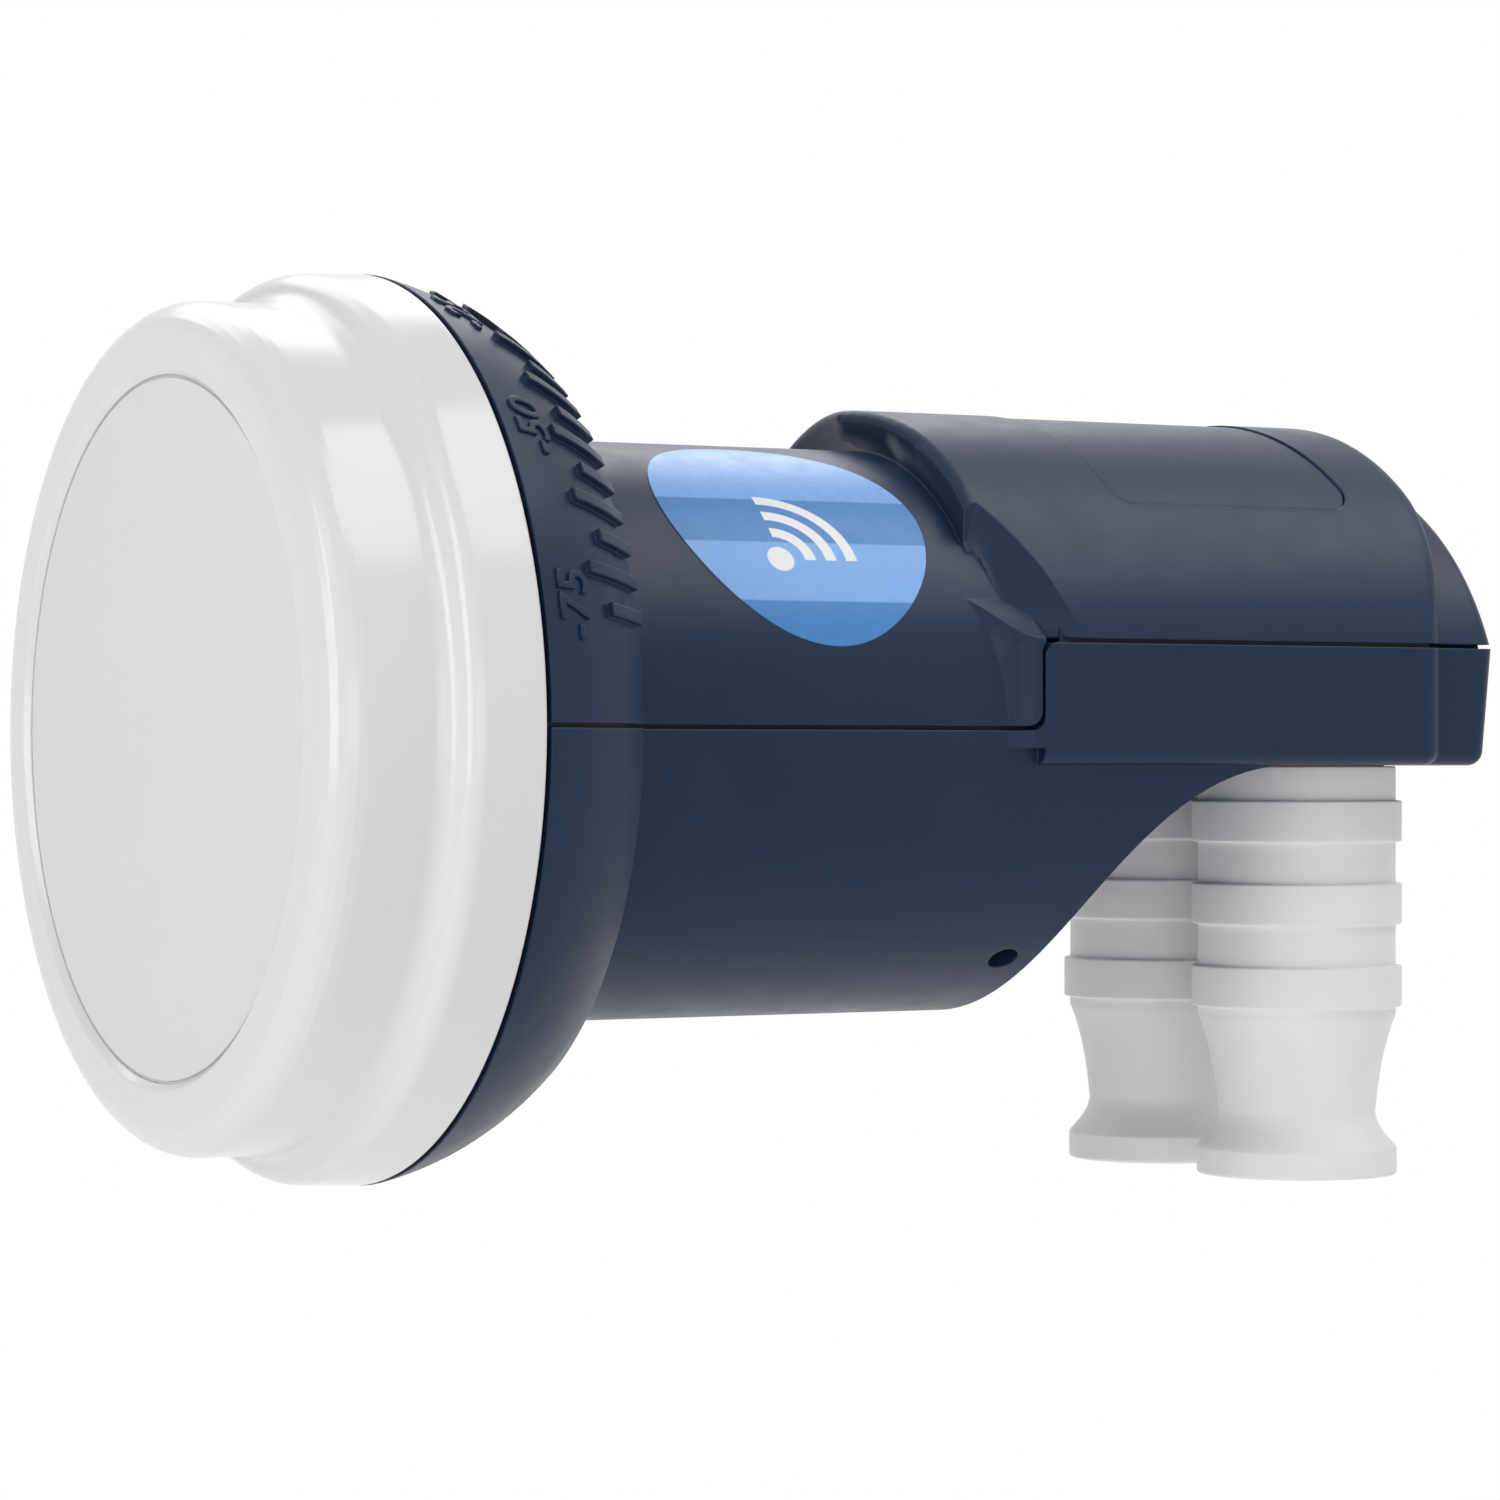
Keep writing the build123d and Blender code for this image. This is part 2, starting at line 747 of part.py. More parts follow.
def board_plan(z):
    """Plan of the circuit board: tongue over the waveguide, main field and tail."""
    fields = [
        (tongue_front_x, board_front_x, tongue_half_width),
        (board_front_x, board_rear_x, board_half_width),
        (board_rear_x, tail_rear_x, tail_half_width),
    ]
    with BuildSketch(Plane.XY.offset(z)) as plan:
        for front_x, rear_x, half_width in fields:
            with Locations(((front_x + rear_x) / 2, 0)):
                Rectangle(rear_x - front_x, 2 * half_width)
    return plan.sketch


with BuildPart() as horn_casting:
    with BuildSketch(Plane.XZ):
        turned_block(throat_x, guide_end_x + end_wall, 0, guide_r + guide_wall)
        for i in range(ring_count):
            groove_floor = ring_front(i) + ring_depth
            groove_back = groove_floor + horn_wall
            ring_r = ring_inner(i + 1)
            turned_block(groove_floor, groove_back, ring_inner(i), ring_r + ring_wall)
            turned_block(ring_front(i + 1), groove_back, ring_r, ring_r + ring_wall)
        turned_block(disc_front_x, disc_rear_x, ring_inner(ring_count), disc_r)
        with Locations((seal_x, disc_r)):
            Rectangle(2 * seal_room, 2 * (disc_r - seal_seat_r), mode=Mode.SUBTRACT)
    revolve(axis=Axis.X)
    extrude(board_plan(board_z), amount=-chassis_thickness)
    with Locations(*at_height(socket_spots, nut_top_z)):
        Cylinder(boss_r, board_z - nut_top_z, align=UP)
    with Locations((throat_x, 0, 0)):
        Cylinder(
            guide_r,
            guide_end_x - throat_x,
            rotation=(0, 90, 0),
            align=(Align.CENTER, Align.CENTER, Align.MIN),
            mode=Mode.SUBTRACT,
        )
    with Locations(*at_height(socket_spots, 0)):
        Cylinder(shank_r + press_play, shank_top_z + press_play, align=UP, mode=Mode.SUBTRACT)
        Cylinder(socket_bore_r, far, align=UP, mode=Mode.SUBTRACT)
    with Locations(*at_height(screw_spots, board_z)):
        Hole(screw_r + press_play, depth=screw_depth)
    with Locations((probe_vertical_x, 0, board_z)):
        Hole(probe_bead_r + press_play, depth=board_z)
    with Locations((probe_horizontal_x, probe_side_y, board_z)):
        Hole(2 * probe_r, depth=chassis_thickness)
    with Locations(Plane(origin=(probe_horizontal_x, guide_r + guide_wall, 0), z_dir=(0, 1, 0))):
        Hole(probe_bead_r + press_play, depth=2 * guide_wall)
finish(horn_casting.part, "horn_casting")

# Sealing ring between the casting's disc and the cap
with BuildPart() as cap_seal:
    with BuildSketch(Plane.XZ):
        with Locations((seal_x, seal_r)):
            Circle(seal_section_r)
    revolve(axis=Axis.X)
finish(cap_seal.part, "cap_seal")

# Circuit board
with BuildPart() as circuit_board:
    extrude(board_plan(board_z), amount=board_thickness)
    with Locations(*at_height(screw_spots, board_top_z)):
        Hole(screw_r + press_play)
    with Locations(*at_height(socket_spots, board_top_z)):
        Hole(contact_r + press_play)
    with Locations((probe_vertical_x, 0, board_top_z), (probe_horizontal_x, probe_side_y, board_top_z)):
        Hole(probe_r + press_play)
finish(circuit_board.part, "circuit_board")

# Antenna probes: one straight pin from above, one bent pin from the side
bead_low = guide_r + 2 * press_play
with BuildPart() as probe_vertical:
    with Locations((probe_vertical_x, 0, probe_reach)):
        Cylinder(probe_r, board_top_z + probe_solder - probe_reach, align=UP)
finish(probe_vertical.part, "probe_vertical")

with BuildPart() as probe_horizontal:
    with BuildLine() as probe_path:
        FilletPolyline(
            (probe_horizontal_x, probe_reach, 0),
            (probe_horizontal_x, probe_side_y, 0),
            (probe_horizontal_x, probe_side_y, board_top_z + probe_solder),
            radius=probe_bend_r,
        )
    with BuildSketch(Plane(origin=(probe_horizontal_x, probe_reach, 0), z_dir=(0, 1, 0))):
        Circle(probe_r)
    sweep()
finish(probe_horizontal.part, "probe_horizontal")

with BuildPart() as probe_bead_vertical:
    with Locations((probe_vertical_x, 0, bead_low)):
        Cylinder(probe_bead_r, board_z - bead_low, align=UP)
        Cylinder(probe_r + press_play, board_z - bead_low, align=UP, mode=Mode.SUBTRACT)
finish(probe_bead_vertical.part, "probe_bead_vertical")

with BuildPart() as probe_bead_horizontal:
    with BuildSketch(Plane(origin=(probe_horizontal_x, bead_low, 0), z_dir=(0, 1, 0))):
        Circle(probe_bead_r)
        Circle(probe_r + press_play, mode=Mode.SUBTRACT)
    extrude(amount=guide_r + guide_wall - bead_low)
finish(probe_bead_horizontal.part, "probe_bead_horizontal")

# Parts soldered to the board: size, places along the board, and distance from its middle
mixer_x = (board_front_x + shield_rib_x) / 2
regulator_x = (shield_rib_x + shield_rear_x) / 2
amplifier_xs = [probe_vertical_x + step * amplifier_step for step in (1, 2)]
board_parts = {
    "amplifier_transistors": (amplifier_size, amplifier_xs, amplifier_y),
    "mixer_chips": (mixer_size, [mixer_x], chip_y),
    "reference_crystal": (crystal_size, [mixer_x], 0),
    "voltage_regulators": (regulator_size, [regulator_x], chip_y),
}
for name, (size, places, distance) in board_parts.items():
    spots = sorted({(x, side * distance) for x in places for side in (-1, 1)})
    with BuildPart() as soldered:
        with Locations(*at_height(spots, board_top_z)):
            Box(*size, align=UP)
    finish(soldered.part, name)

# Shield lid over the board, with a partition and a post under each screw
with BuildPart() as shield_cover:
    with BuildSketch(Plane.XY.offset(board_top_z)) as lid_plan:
        with Locations(((board_front_x + shield_margin + shield_rear_x) / 2, 0)):
            Rectangle(shield_rear_x - board_front_x - shield_margin, 2 * (board_half_width - shield_margin))
        with Locations(((tongue_front_x + shield_margin + board_front_x + shield_margin) / 2, 0)):
            Rectangle(board_front_x - tongue_front_x, 2 * shield_tongue_half_width)
    extrude(amount=shield_height)
    with BuildSketch(Plane.XY.offset(board_top_z)):
        add(lid_plan.sketch_local)
        offset(amount=-shield_wall, kind=Kind.INTERSECTION, mode=Mode.REPLACE)
    extrude(amount=shield_height - shield_wall, mode=Mode.SUBTRACT)
    with Locations((shield_rib_x, 0, board_top_z)):
        Box(shield_wall, 2 * (board_half_width - shield_margin), shield_height, align=UP)
    with Locations(*at_height(screw_spots, board_top_z)):
        Cylinder(post_r, shield_height, align=UP)
    with Locations(*at_height(screw_spots, shield_top_z)):
        Hole(screw_r + press_play)
finish(shield_cover.part, "shield_cover")

with BuildPart() as shield_screws:
    with Locations(*at_height(screw_spots, shield_top_z)):
        Cylinder(screw_head_r, screw_head_height, align=UP)
    with Locations(*at_height(screw_spots, board_z - screw_depth + press_play)):
        Cylinder(screw_r, shield_top_z - board_z + screw_depth - press_play, align=UP)
finish(shield_screws.part, "shield_screws")

# Weather boot: ribbed sleeve with a waist that grips the cable and a flared mouth
def boot_sleeve(plane):
    """The boot's half section: outer line down from the top, inner line back up."""
    lip_r = (boot_mouth_r + boot_cable_r) / 2
    with BuildSketch(plane) as section:
        with BuildLine():
            taper = ThreePointArc(
                (boot_body_r, rib_low_z),
                ((boot_body_r + boot_waist_r) / 2 - boot_taper_hollow, (rib_low_z + boot_waist_z) / 2),
                (boot_waist_r, boot_waist_z),
            )
            TangentArc((boot_waist_r, boot_waist_z), (boot_flare_r, boot_flare_z), tangent=taper % 1)
            Polyline(
                (boot_flare_r, boot_flare_z),
                (boot_flare_r, boot_tip_z),
                (boot_mouth_r, boot_tip_z),
                (lip_r, boot_flare_z),
                (boot_cable_r, boot_waist_z),
                (boot_cable_r, boot_throat_z),
                (boot_bore_r, boot_chamber_z),
                (boot_bore_r, boot_top_z),
                (boot_body_r, boot_top_z),
                (boot_body_r, rib_low_z),
            )
        make_face()
        for i in range(boot_rib_count):
            rib_top_z = boot_top_z - boot_collar - i * boot_rib_pitch
            with Locations(((boot_body_r + boot_rib_r) / 2, rib_top_z - boot_rib_height / 2)):
                Rectangle(boot_rib_r - boot_body_r, boot_rib_height)
    return section.sketch


# Sockets and boots, one pair on each side
for side, y in (("left", -socket_y), ("right", socket_y)):
    with BuildPart() as connector_body:
        with Locations((socket_x, y, socket_tip_z)):
            Cylinder(thread_r, thread_length, align=UP)
        chamfer(connector_body.edges().sort_by(Axis.Z)[0], socket_chamfer)
        with Locations((socket_x, y, collar_low_z)):
            Cylinder(collar_r, nut_low_z - collar_low_z, align=UP)
        with BuildSketch(Plane.XY.offset(nut_low_z)):
            with Locations((socket_x, y)):
                RegularPolygon(nut_flats / 2, 6, major_radius=False)
        extrude(amount=nut_height)
        with Locations((socket_x, y, nut_top_z)):
            Cylinder(shank_r, shank_top_z - nut_top_z, align=UP)
        with Locations((socket_x, y, socket_tip_z)):
            Cylinder(socket_bore_r, far, align=UP, mode=Mode.SUBTRACT)
    finish(connector_body.part, f"connector_body_{side}")

    with BuildPart() as connector_insulator:
        with Locations((socket_x, y, socket_tip_z + insulator_recess)):
            insulator_length = board_z - press_play - socket_tip_z - insulator_recess
            Cylinder(socket_bore_r - press_play, insulator_length, align=UP)
            Cylinder(contact_r + press_play, far, align=UP, mode=Mode.SUBTRACT)
    finish(connector_insulator.part, f"connector_insulator_{side}")

    with BuildPart() as connector_contact:
        with Locations((socket_x, y, contact_low_z)):
            Cylinder(contact_r, board_top_z + probe_solder - contact_low_z, align=UP)
    finish(connector_contact.part, f"connector_contact_{side}")

    with BuildPart() as connector_seal:
        with Locations((socket_x, y, inner_floor_z)):
            Cylinder(collar_r + press_play + gasket_wall, gasket_height, align=UP)
            Cylinder(collar_r + press_play, gasket_height, align=UP, mode=Mode.SUBTRACT)
    finish(connector_seal.part, f"connector_seal_{side}")

    with BuildPart() as weather_boot:
        section = boot_sleeve(Plane(origin=(socket_x, y, 0), x_dir=(1, 0, 0), z_dir=(0, -1, 0)))
        revolve(section, axis=Axis((socket_x, y, 0), (0, 0, 1)))
    finish(weather_boot.part, f"weather_boot_{side}")
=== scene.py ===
# %% [markdown]
# # A satellite LNB, dressed for a studio picture
#
# The part is a twin-output LNB: a white cap over the feed horn, a navy housing with a round clamp neck,
# and two coax sockets under white rubber boots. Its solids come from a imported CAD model, which stays
# fixed. This script adds what a picture needs: a rounder hood, finer turned pieces, raised numbers, a
# printed label and the finish of every surface. We start by loading the frame and noting its box.

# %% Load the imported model
from math import acos, pi, radians

import bpy
import numpy as np
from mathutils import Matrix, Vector


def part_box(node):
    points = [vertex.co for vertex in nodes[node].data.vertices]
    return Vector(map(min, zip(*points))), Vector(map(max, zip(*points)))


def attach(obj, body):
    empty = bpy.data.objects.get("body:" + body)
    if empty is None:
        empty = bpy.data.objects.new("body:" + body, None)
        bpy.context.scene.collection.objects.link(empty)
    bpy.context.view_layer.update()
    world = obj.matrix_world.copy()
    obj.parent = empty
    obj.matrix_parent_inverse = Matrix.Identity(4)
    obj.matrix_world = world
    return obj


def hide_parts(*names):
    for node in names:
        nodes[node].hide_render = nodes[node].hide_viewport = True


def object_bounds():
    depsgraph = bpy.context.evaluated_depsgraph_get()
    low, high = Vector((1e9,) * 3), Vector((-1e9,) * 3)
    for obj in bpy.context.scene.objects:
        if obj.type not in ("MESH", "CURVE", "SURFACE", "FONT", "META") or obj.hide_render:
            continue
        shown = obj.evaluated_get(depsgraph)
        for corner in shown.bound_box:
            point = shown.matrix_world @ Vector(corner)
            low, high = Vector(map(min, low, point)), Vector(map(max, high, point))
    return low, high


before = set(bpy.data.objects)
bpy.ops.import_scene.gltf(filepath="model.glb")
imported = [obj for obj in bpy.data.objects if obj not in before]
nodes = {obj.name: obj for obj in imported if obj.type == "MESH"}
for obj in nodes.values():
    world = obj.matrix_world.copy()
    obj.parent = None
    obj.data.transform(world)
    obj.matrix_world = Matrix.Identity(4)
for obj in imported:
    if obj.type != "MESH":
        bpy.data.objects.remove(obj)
cad_low, cad_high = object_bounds()
MM = 0.001
print("nodes:", len(nodes), "box in mm:", [round(s / MM, 2) for s in cad_high - cad_low])

# %% [markdown]
# ## The camera
#
# The picture is taken level with the part, from its front left, through a long lens. A level camera keeps
# upright edges upright, as in a catalogue. The lens shift lifts the view a little without tilting it.

# %% Camera at the picture's angle
camera_azimuth = radians(29.5)
camera_place = (-161.8 * MM, -297.2 * MM, -2.15 * MM)
frame_width = 1500
focal_pixels = 4840.5
horizon_pixels = 12
sensor_width = 36
nearest_seen = 10 * MM

camera_data = bpy.data.cameras.new("studio_camera")
camera_data.sensor_width = sensor_width
camera_data.lens = sensor_width * focal_pixels / frame_width
camera_data.shift_y = horizon_pixels / frame_width
camera_data.clip_start = nearest_seen
camera = bpy.data.objects.new("studio_camera", camera_data)
camera.location = camera_place
camera.rotation_euler = (pi / 2, 0, -camera_azimuth)
bpy.context.scene.collection.objects.link(camera)
bpy.context.scene.camera = camera
print("lens:", round(camera_data.lens, 2), "mm")

# %% [markdown]
# ## Nodes in few words
#
# A material is a small graph. A few helpers keep it readable: they add and feed a node, do one step of
# arithmetic, stretch a range of numbers, mix two colours, or give soft spots and relief. A number that is
# the same all over a surface is written straight on the shader, so that it also survives an export.

# %% Helpers for node graphs
def add_node(tree, kind, feeds, **settings):
    """Adds a node. Each feed is a plain value, or another node's output that gets linked."""
    made = tree.nodes.new(kind)
    for name, value in settings.items():
        setattr(made, name, value)
    for key, feed in feeds.items():
        if isinstance(feed, bpy.types.NodeSocket):
            tree.links.new(feed, made.inputs[key])
        else:
            made.inputs[key].default_value = feed
    return made


def calculate(tree, operation, *values):
    """One step of arithmetic."""
    return add_node(tree, "ShaderNodeMath", dict(enumerate(values)), operation=operation).outputs[0]


def calculate_vector(tree, operation, *vectors):
    """One step of vector arithmetic. A length or a dot product comes out as a number."""
    made = add_node(tree, "ShaderNodeVectorMath", dict(enumerate(vectors)), operation=operation)
    return made.outputs["Value" if operation in ("LENGTH", "DOT_PRODUCT") else "Vector"]


def stretch(tree, value, low, high, to_low, to_high):
    """Maps low..high to to_low..to_high in a straight line, and holds at both ends."""
    feeds = {0: value, 1: low, 2: high, 3: to_low, 4: to_high}
    return add_node(tree, "ShaderNodeMapRange", feeds).outputs[0]


def mix_colours(tree, share, first, second):
    """The first colour where share is 0 and the second where it is 1."""
    colours = [c if isinstance(c, bpy.types.NodeSocket) else (*c, 1) for c in (first, second)]
    feeds = {0: share, 6: colours[0], 7: colours[1]}
    return add_node(tree, "ShaderNodeMix", feeds, data_type="RGBA").outputs[2]


def place(tree):
    """The point on the piece, in metres."""
    return tree.nodes.new("ShaderNodeTexCoord").outputs["Object"]


def coordinate(tree, axis):
    """One of the point's three numbers."""
    return add_node(tree, "ShaderNodeSeparateXYZ", {0: place(tree)}).outputs[axis]


def speckle(tree, size, detail=2):
    """Soft random spots, about size metres across, with values round a half."""
    feeds = {"Vector": place(tree), "Scale": 1 / size, "Detail": detail}
    return add_node(tree, "ShaderNodeTexNoise", feeds).outputs[0]


def relief(tree, height, depth, strength=1.0, normal=None):
    """Turns a height into a bump that is depth metres high."""
    feeds = {"Strength": strength, "Distance": depth, "Height": height}
    if normal:
        feeds["Normal"] = normal
    return add_node(tree, "ShaderNodeBump", feeds).outputs[0]


def new_finish(name, colour, roughness, metallic=0.0, specular=0.5):
    """A material with one shader. Returns the material, its node tree and a way to link the shader."""
    material = bpy.data.materials.new(name)
    material.use_nodes = True
    tree = material.node_tree
    shader = tree.nodes["Principled BSDF"]
    shader.inputs["Base Color"].default_value = (*colour, 1)
    shader.inputs["Roughness"].default_value = roughness
    shader.inputs["Metallic"].default_value = metallic
    shader.inputs["Specular IOR Level"].default_value = specular

    def link(socket, output):
        tree.links.new(output, shader.inputs[socket])

    return material, tree, link


print("node helpers ready")

# %% [markdown]
# ## Navy housing plastic
#
# The housing is moulded in navy plastic from a lightly spark-eroded tool: a satin skin whose grain is too
# fine to make out, and which spreads the highlights. Corners of a moulding are never quite sharp. A Bevel
# node rounds the shading at the edges, and comparing it with the flat surface tells where the edges are;
# there a lighter navy is painted into the colour as a highlight.

# %% Navy plastic
def navy_plastic():
    """Satin navy: faint clouding in the colour, fine grain as relief, and a painted highlight along the
    edges.
    """
    # The third colour is a lighter navy, painted on as a highlight where the edges are.
    base, cloudy, edge_highlight = (0.0085, 0.0215, 0.0550), (0.0098, 0.0232, 0.0580), (0.0260, 0.0440, 0.0860)
    material, tree, link = new_finish("housing_navy_satin", base, roughness=0.36, specular=0.2)
    edge_round, edge_rays = 0.22 * MM, 6
    cloud_size, gloss_size, grain_size, grain_depth = 9 * MM, 3 * MM, 0.16 * MM, 0.006 * MM
    rounded = add_node(tree, "ShaderNodeBevel", {"Radius": edge_round}, samples=edge_rays).outputs[0]
    flat = tree.nodes.new("ShaderNodeNewGeometry").outputs["Normal"]
    alike = calculate_vector(tree, "DOT_PRODUCT", rounded, flat)
    edge = stretch(tree, alike, 0.90, 0.995, 0.5, 0.0)
    cloud = stretch(tree, speckle(tree, cloud_size), 0.35, 0.65, 0.0, 1.0)
    # Along the edges the colour turns to the lighter navy: a painted highlight.
    link("Base Color", mix_colours(tree, edge, mix_colours(tree, cloud, base, cloudy), edge_highlight))
    link("Roughness", stretch(tree, speckle(tree, gloss_size), 0.3, 0.7, 0.33, 0.39))
    link("Normal", relief(tree, speckle(tree, grain_size), grain_depth, 0.35, rounded))
    return material


navy = navy_plastic()
for name in ("upper_housing", "lower_housing", "crown_plate"):
    nodes[name].data.materials[0] = navy
print("navy plastic on", "upper_housing, lower_housing, crown_plate")

# %% [markdown]
# ## A rounder hood
#
# The hood over the circuit board is moulded as nearly a part of a tube round the neck: its sides lean in
# from the seam upwards and catch the light from above. The solids have it fuller, with upright walls and
# round shoulders. So the shell is drawn from a copy of its own triangles, whose points are squeezed to the
# rounder section. The slopes of the map also say how the shading directions turn, so no smoothing is needed.

# %% Map from the full section to the round one
seam_z, neck_r = 6.0, 20.0
full_half_width, crown_z, full_crown_r, full_shoulder_r = 21.0, 22.9, 31.0, 9.0
rear_crown_z, rear_crown_r = 19.6, 21.5
round_centre_z = -2.0
hood_from_x, hood_middle_x = 8.0, 30.0
edge_sweep = 0.566
least_spare, least_share = 0.01, 0.05


def half_circle_width(z, centre_z, radius):
    """Half width of a circle at a height, and 0 above it."""
    return np.sqrt(np.maximum(radius**2 - (z - centre_z) ** 2, 0))


def full_width(z):
    """Half width of the solids' hood: upright wall, then the shoulder's arc, then the crown's arc."""
    crown_centre_z = crown_z - full_crown_r
    shoulder_y = full_half_width - full_shoulder_r
    reach = full_crown_r - full_shoulder_r
    shoulder_z = crown_centre_z + np.sqrt(reach**2 - shoulder_y**2)
    joint_z = shoulder_z + full_shoulder_r * (shoulder_z - crown_centre_z) / reach
    shoulder = shoulder_y + half_circle_width(np.maximum(z, shoulder_z), shoulder_z, full_shoulder_r)
    return np.where(z < joint_z, shoulder, half_circle_width(z, crown_centre_z, full_crown_r))


def round_width(z):
    """Half width of the round hood: an ellipse through the seam's corner and the crown."""
    height = crown_z - round_centre_z
    share = (z - round_centre_z) / height
    seam_share = (seam_z - round_centre_z) / height
    return full_half_width * np.sqrt(np.maximum(1 - share**2, 0) / (1 - seam_share**2))


def lean_in(points):
    """Point (x, y, z) keeps its height. The part of |y| outside the neck, or the rear end, shrinks by the
    share (round - kept) / (full - kept), and x moves back by edge_sweep times what |y| lost. All in mm."""
    x, y, z = points.T
    neck = half_circle_width(z, 0, neck_r)
    rear = half_circle_width(z, rear_crown_z - rear_crown_r, rear_crown_r)
    kept = np.where(x < hood_middle_x, neck, np.maximum(neck, rear))
    spare = np.maximum(full_width(z) - kept, least_spare)
    share = np.clip((round_width(z) - kept) / spare, least_share, 1.0)
    beyond = np.where((x > hood_from_x) & (z > seam_z), np.maximum(np.abs(y) - kept, 0), 0)
    lost = beyond * (1 - share)
    return np.stack([x + edge_sweep * lost, y - np.sign(y) * lost, z], axis=-1)


heights = np.array([seam_z, 12.0, 18.0])
print("full and round half widths in mm:", full_width(heights).round(2), round_width(heights).round(2))

# %% Squeezed copies of the shell and its plate
small_step, weld_digits = 0.002, 5


def squeezed_copy(name, node):
    """Welds a node's triangles, maps their points, and turns each shading direction n to (J^-T) n, where J
    holds the map's slopes, taken as differences over a small step. Triangles that the map closes up, or
    lays on each other, are left out."""
    mesh = nodes[node].data
    points, normals = np.empty(len(mesh.vertices) * 3), np.empty(len(mesh.loops) * 3)
    corners = np.empty(len(mesh.loops), int)
    mesh.vertices.foreach_get("co", points)
    mesh.corner_normals.foreach_get("vector", normals)
    mesh.loops.foreach_get("vertex_index", corners)
    points, normals = points.reshape(-1, 3) / MM, normals.reshape(-1, 3)
    steps = small_step * np.eye(3)
    slopes = [(lean_in(points + d) - lean_in(points - d)) / (2 * small_step) for d in steps]
    turned = np.linalg.inv(np.stack(slopes, axis=-1)).transpose(0, 2, 1)[corners] @ normals[:, :, None]
    turned = turned[:, :, 0] / np.linalg.norm(turned[:, :, 0], axis=1, keepdims=True)
    moved = lean_in(points)
    welded, place_of = np.unique(moved.round(weld_digits), axis=0, return_inverse=True)
    faces = place_of.ravel()[corners].reshape(-1, 3)
    ordered = np.sort(faces, axis=1)
    whole = (ordered[:, 0] < ordered[:, 1]) & (ordered[:, 1] < ordered[:, 2])
    first = np.zeros(len(faces), bool)
    first[np.unique(ordered, axis=0, return_index=True)[1]] = True
    faces, turned = faces[whole & first], turned.reshape(-1, 3, 3)[whole & first].reshape(-1, 3)
    made = bpy.data.meshes.new(name)
    made.from_pydata((welded * MM).tolist(), [], faces.tolist())
    made.shade_smooth()
    made.normals_split_custom_set(turned.tolist())
    made.materials.append(navy)
    piece = bpy.data.objects.new(name, made)
    bpy.context.scene.collection.objects.link(piece)
    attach(piece, "housing")
    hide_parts(node)
    most = np.abs(moved - points).max().round(2)
    print(name, "faces:", len(made.polygons), "moved by up to", most, "mm")


squeezed_copy("hooded_shell", "upper_housing")
squeezed_copy("hood_plate", "crown_plate")

# %% [markdown]
# ## Turned pieces
#
# The cap and the boots are round mouldings, so each one is a profile spun about an axis. A profile is a
# short list of corners, and every corner has a radius of its own: the rounding is worked out as an arc
# between the two tangent points. Straight stretches get two extra points close to their ends, which
# keeps the flats flat when the surface is shaded smooth.

# %% Helpers for profiles and turned pieces
def rounded_profile(corners, steps=7):
    """Corner list of (along, radius, rounding): each corner becomes an arc that is tangent to both sides.
    The arc's tangent points lie rounding / tan(half the inner angle) from the corner, and its centre lies
    rounding / sin(half the inner angle) along the bisector. The two end points stay as they are."""
    points = np.array([corner[:2] for corner in corners], float)
    pieces = [points[:1]]
    for i in range(1, len(corners) - 1):
        to_last, to_next = points[i - 1] - points[i], points[i + 1] - points[i]
        to_last, to_next = to_last / np.linalg.norm(to_last), to_next / np.linalg.norm(to_next)
        half = acos(np.clip(to_last @ to_next, -1, 1)) / 2
        rounding = corners[i][2]
        bisector = (to_last + to_next) / np.linalg.norm(to_last + to_next)
        centre = points[i] + bisector * rounding / np.sin(half)
        turn = np.linspace(-1, 1, steps)[:, None] * (pi / 2 - half)
        across = to_next - to_last
        across = across / np.linalg.norm(across)
        pieces.append(centre + rounding * (-bisector * np.cos(turn) + across * np.sin(turn)))
    pieces.append(points[-1:])
    return held_straights(np.concatenate(pieces))


def held_straights(points, hold=0.12, longest=0.6, nearest=1e-6):
    """Adds a point at hold from both ends of every stretch that is longer than longest. Points that then
    lie on their neighbour are dropped."""
    start, end = points[:-1], points[1:]
    length = np.linalg.norm(end - start, axis=1, keepdims=True)
    share = np.where(length > longest, hold / np.maximum(length, longest), 0)
    rows = np.stack([start, start + (end - start) * share, end - (end - start) * share], axis=1)
    rows = np.concatenate([rows.reshape(-1, 2), points[-1:]])
    fresh = np.linalg.norm(np.diff(rows, axis=0), axis=1) > nearest
    return rows[np.concatenate([[True], fresh])]


def grid_faces(rows, columns, wrap_rows):
    """Corner numbers of the quads of a grid that closes round its columns, and round its rows if asked."""
    row, column = np.meshgrid(np.arange(rows if wrap_rows else rows - 1), np.arange(columns), indexing="ij")
    next_row, next_column = (row + 1) % rows, (column + 1) % columns
    corners = (row, column), (row, next_column), (next_row, next_column), (next_row, column)
    return np.stack([r * columns + c for r, c in corners], axis=-1).reshape(-1, 4)


def add_piece(name, points, faces, material, body):
    """Makes a smooth mesh object from points in metres, dresses it and lets it ride on a body."""
    mesh = bpy.data.meshes.new(name)
    mesh.from_pydata(points.tolist(), [], faces)
    mesh.shade_smooth()
    mesh.materials.append(material)
    mesh.validate()
    piece = bpy.data.objects.new(name, mesh)
    bpy.context.scene.collection.objects.link(piece)
    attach(piece, body)
    print(name, "faces:", len(mesh.polygons))
    return piece


print("profile helpers ready")

# %% [markdown]
# ## The front cap
#
# The cap is a glossy white moulding that lets microwaves through. Its front is a plate, sunk by half a
# millimetre and framed by a fine groove. Behind the rounded edge the side steps out to the rim in a double
# curve, made of two equal arcs. The plate has a matte skin and the rest is polished, so one material
# changes its gloss at the groove.

# %% Glossy white with a matte plate
cap_low, cap_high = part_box("radome_cap")
cap_front, cap_rear, cap_rim_r = cap_low.x / MM, cap_high.x / MM, cap_high.z / MM
plate_r, plate_edge = 23.4, 0.1


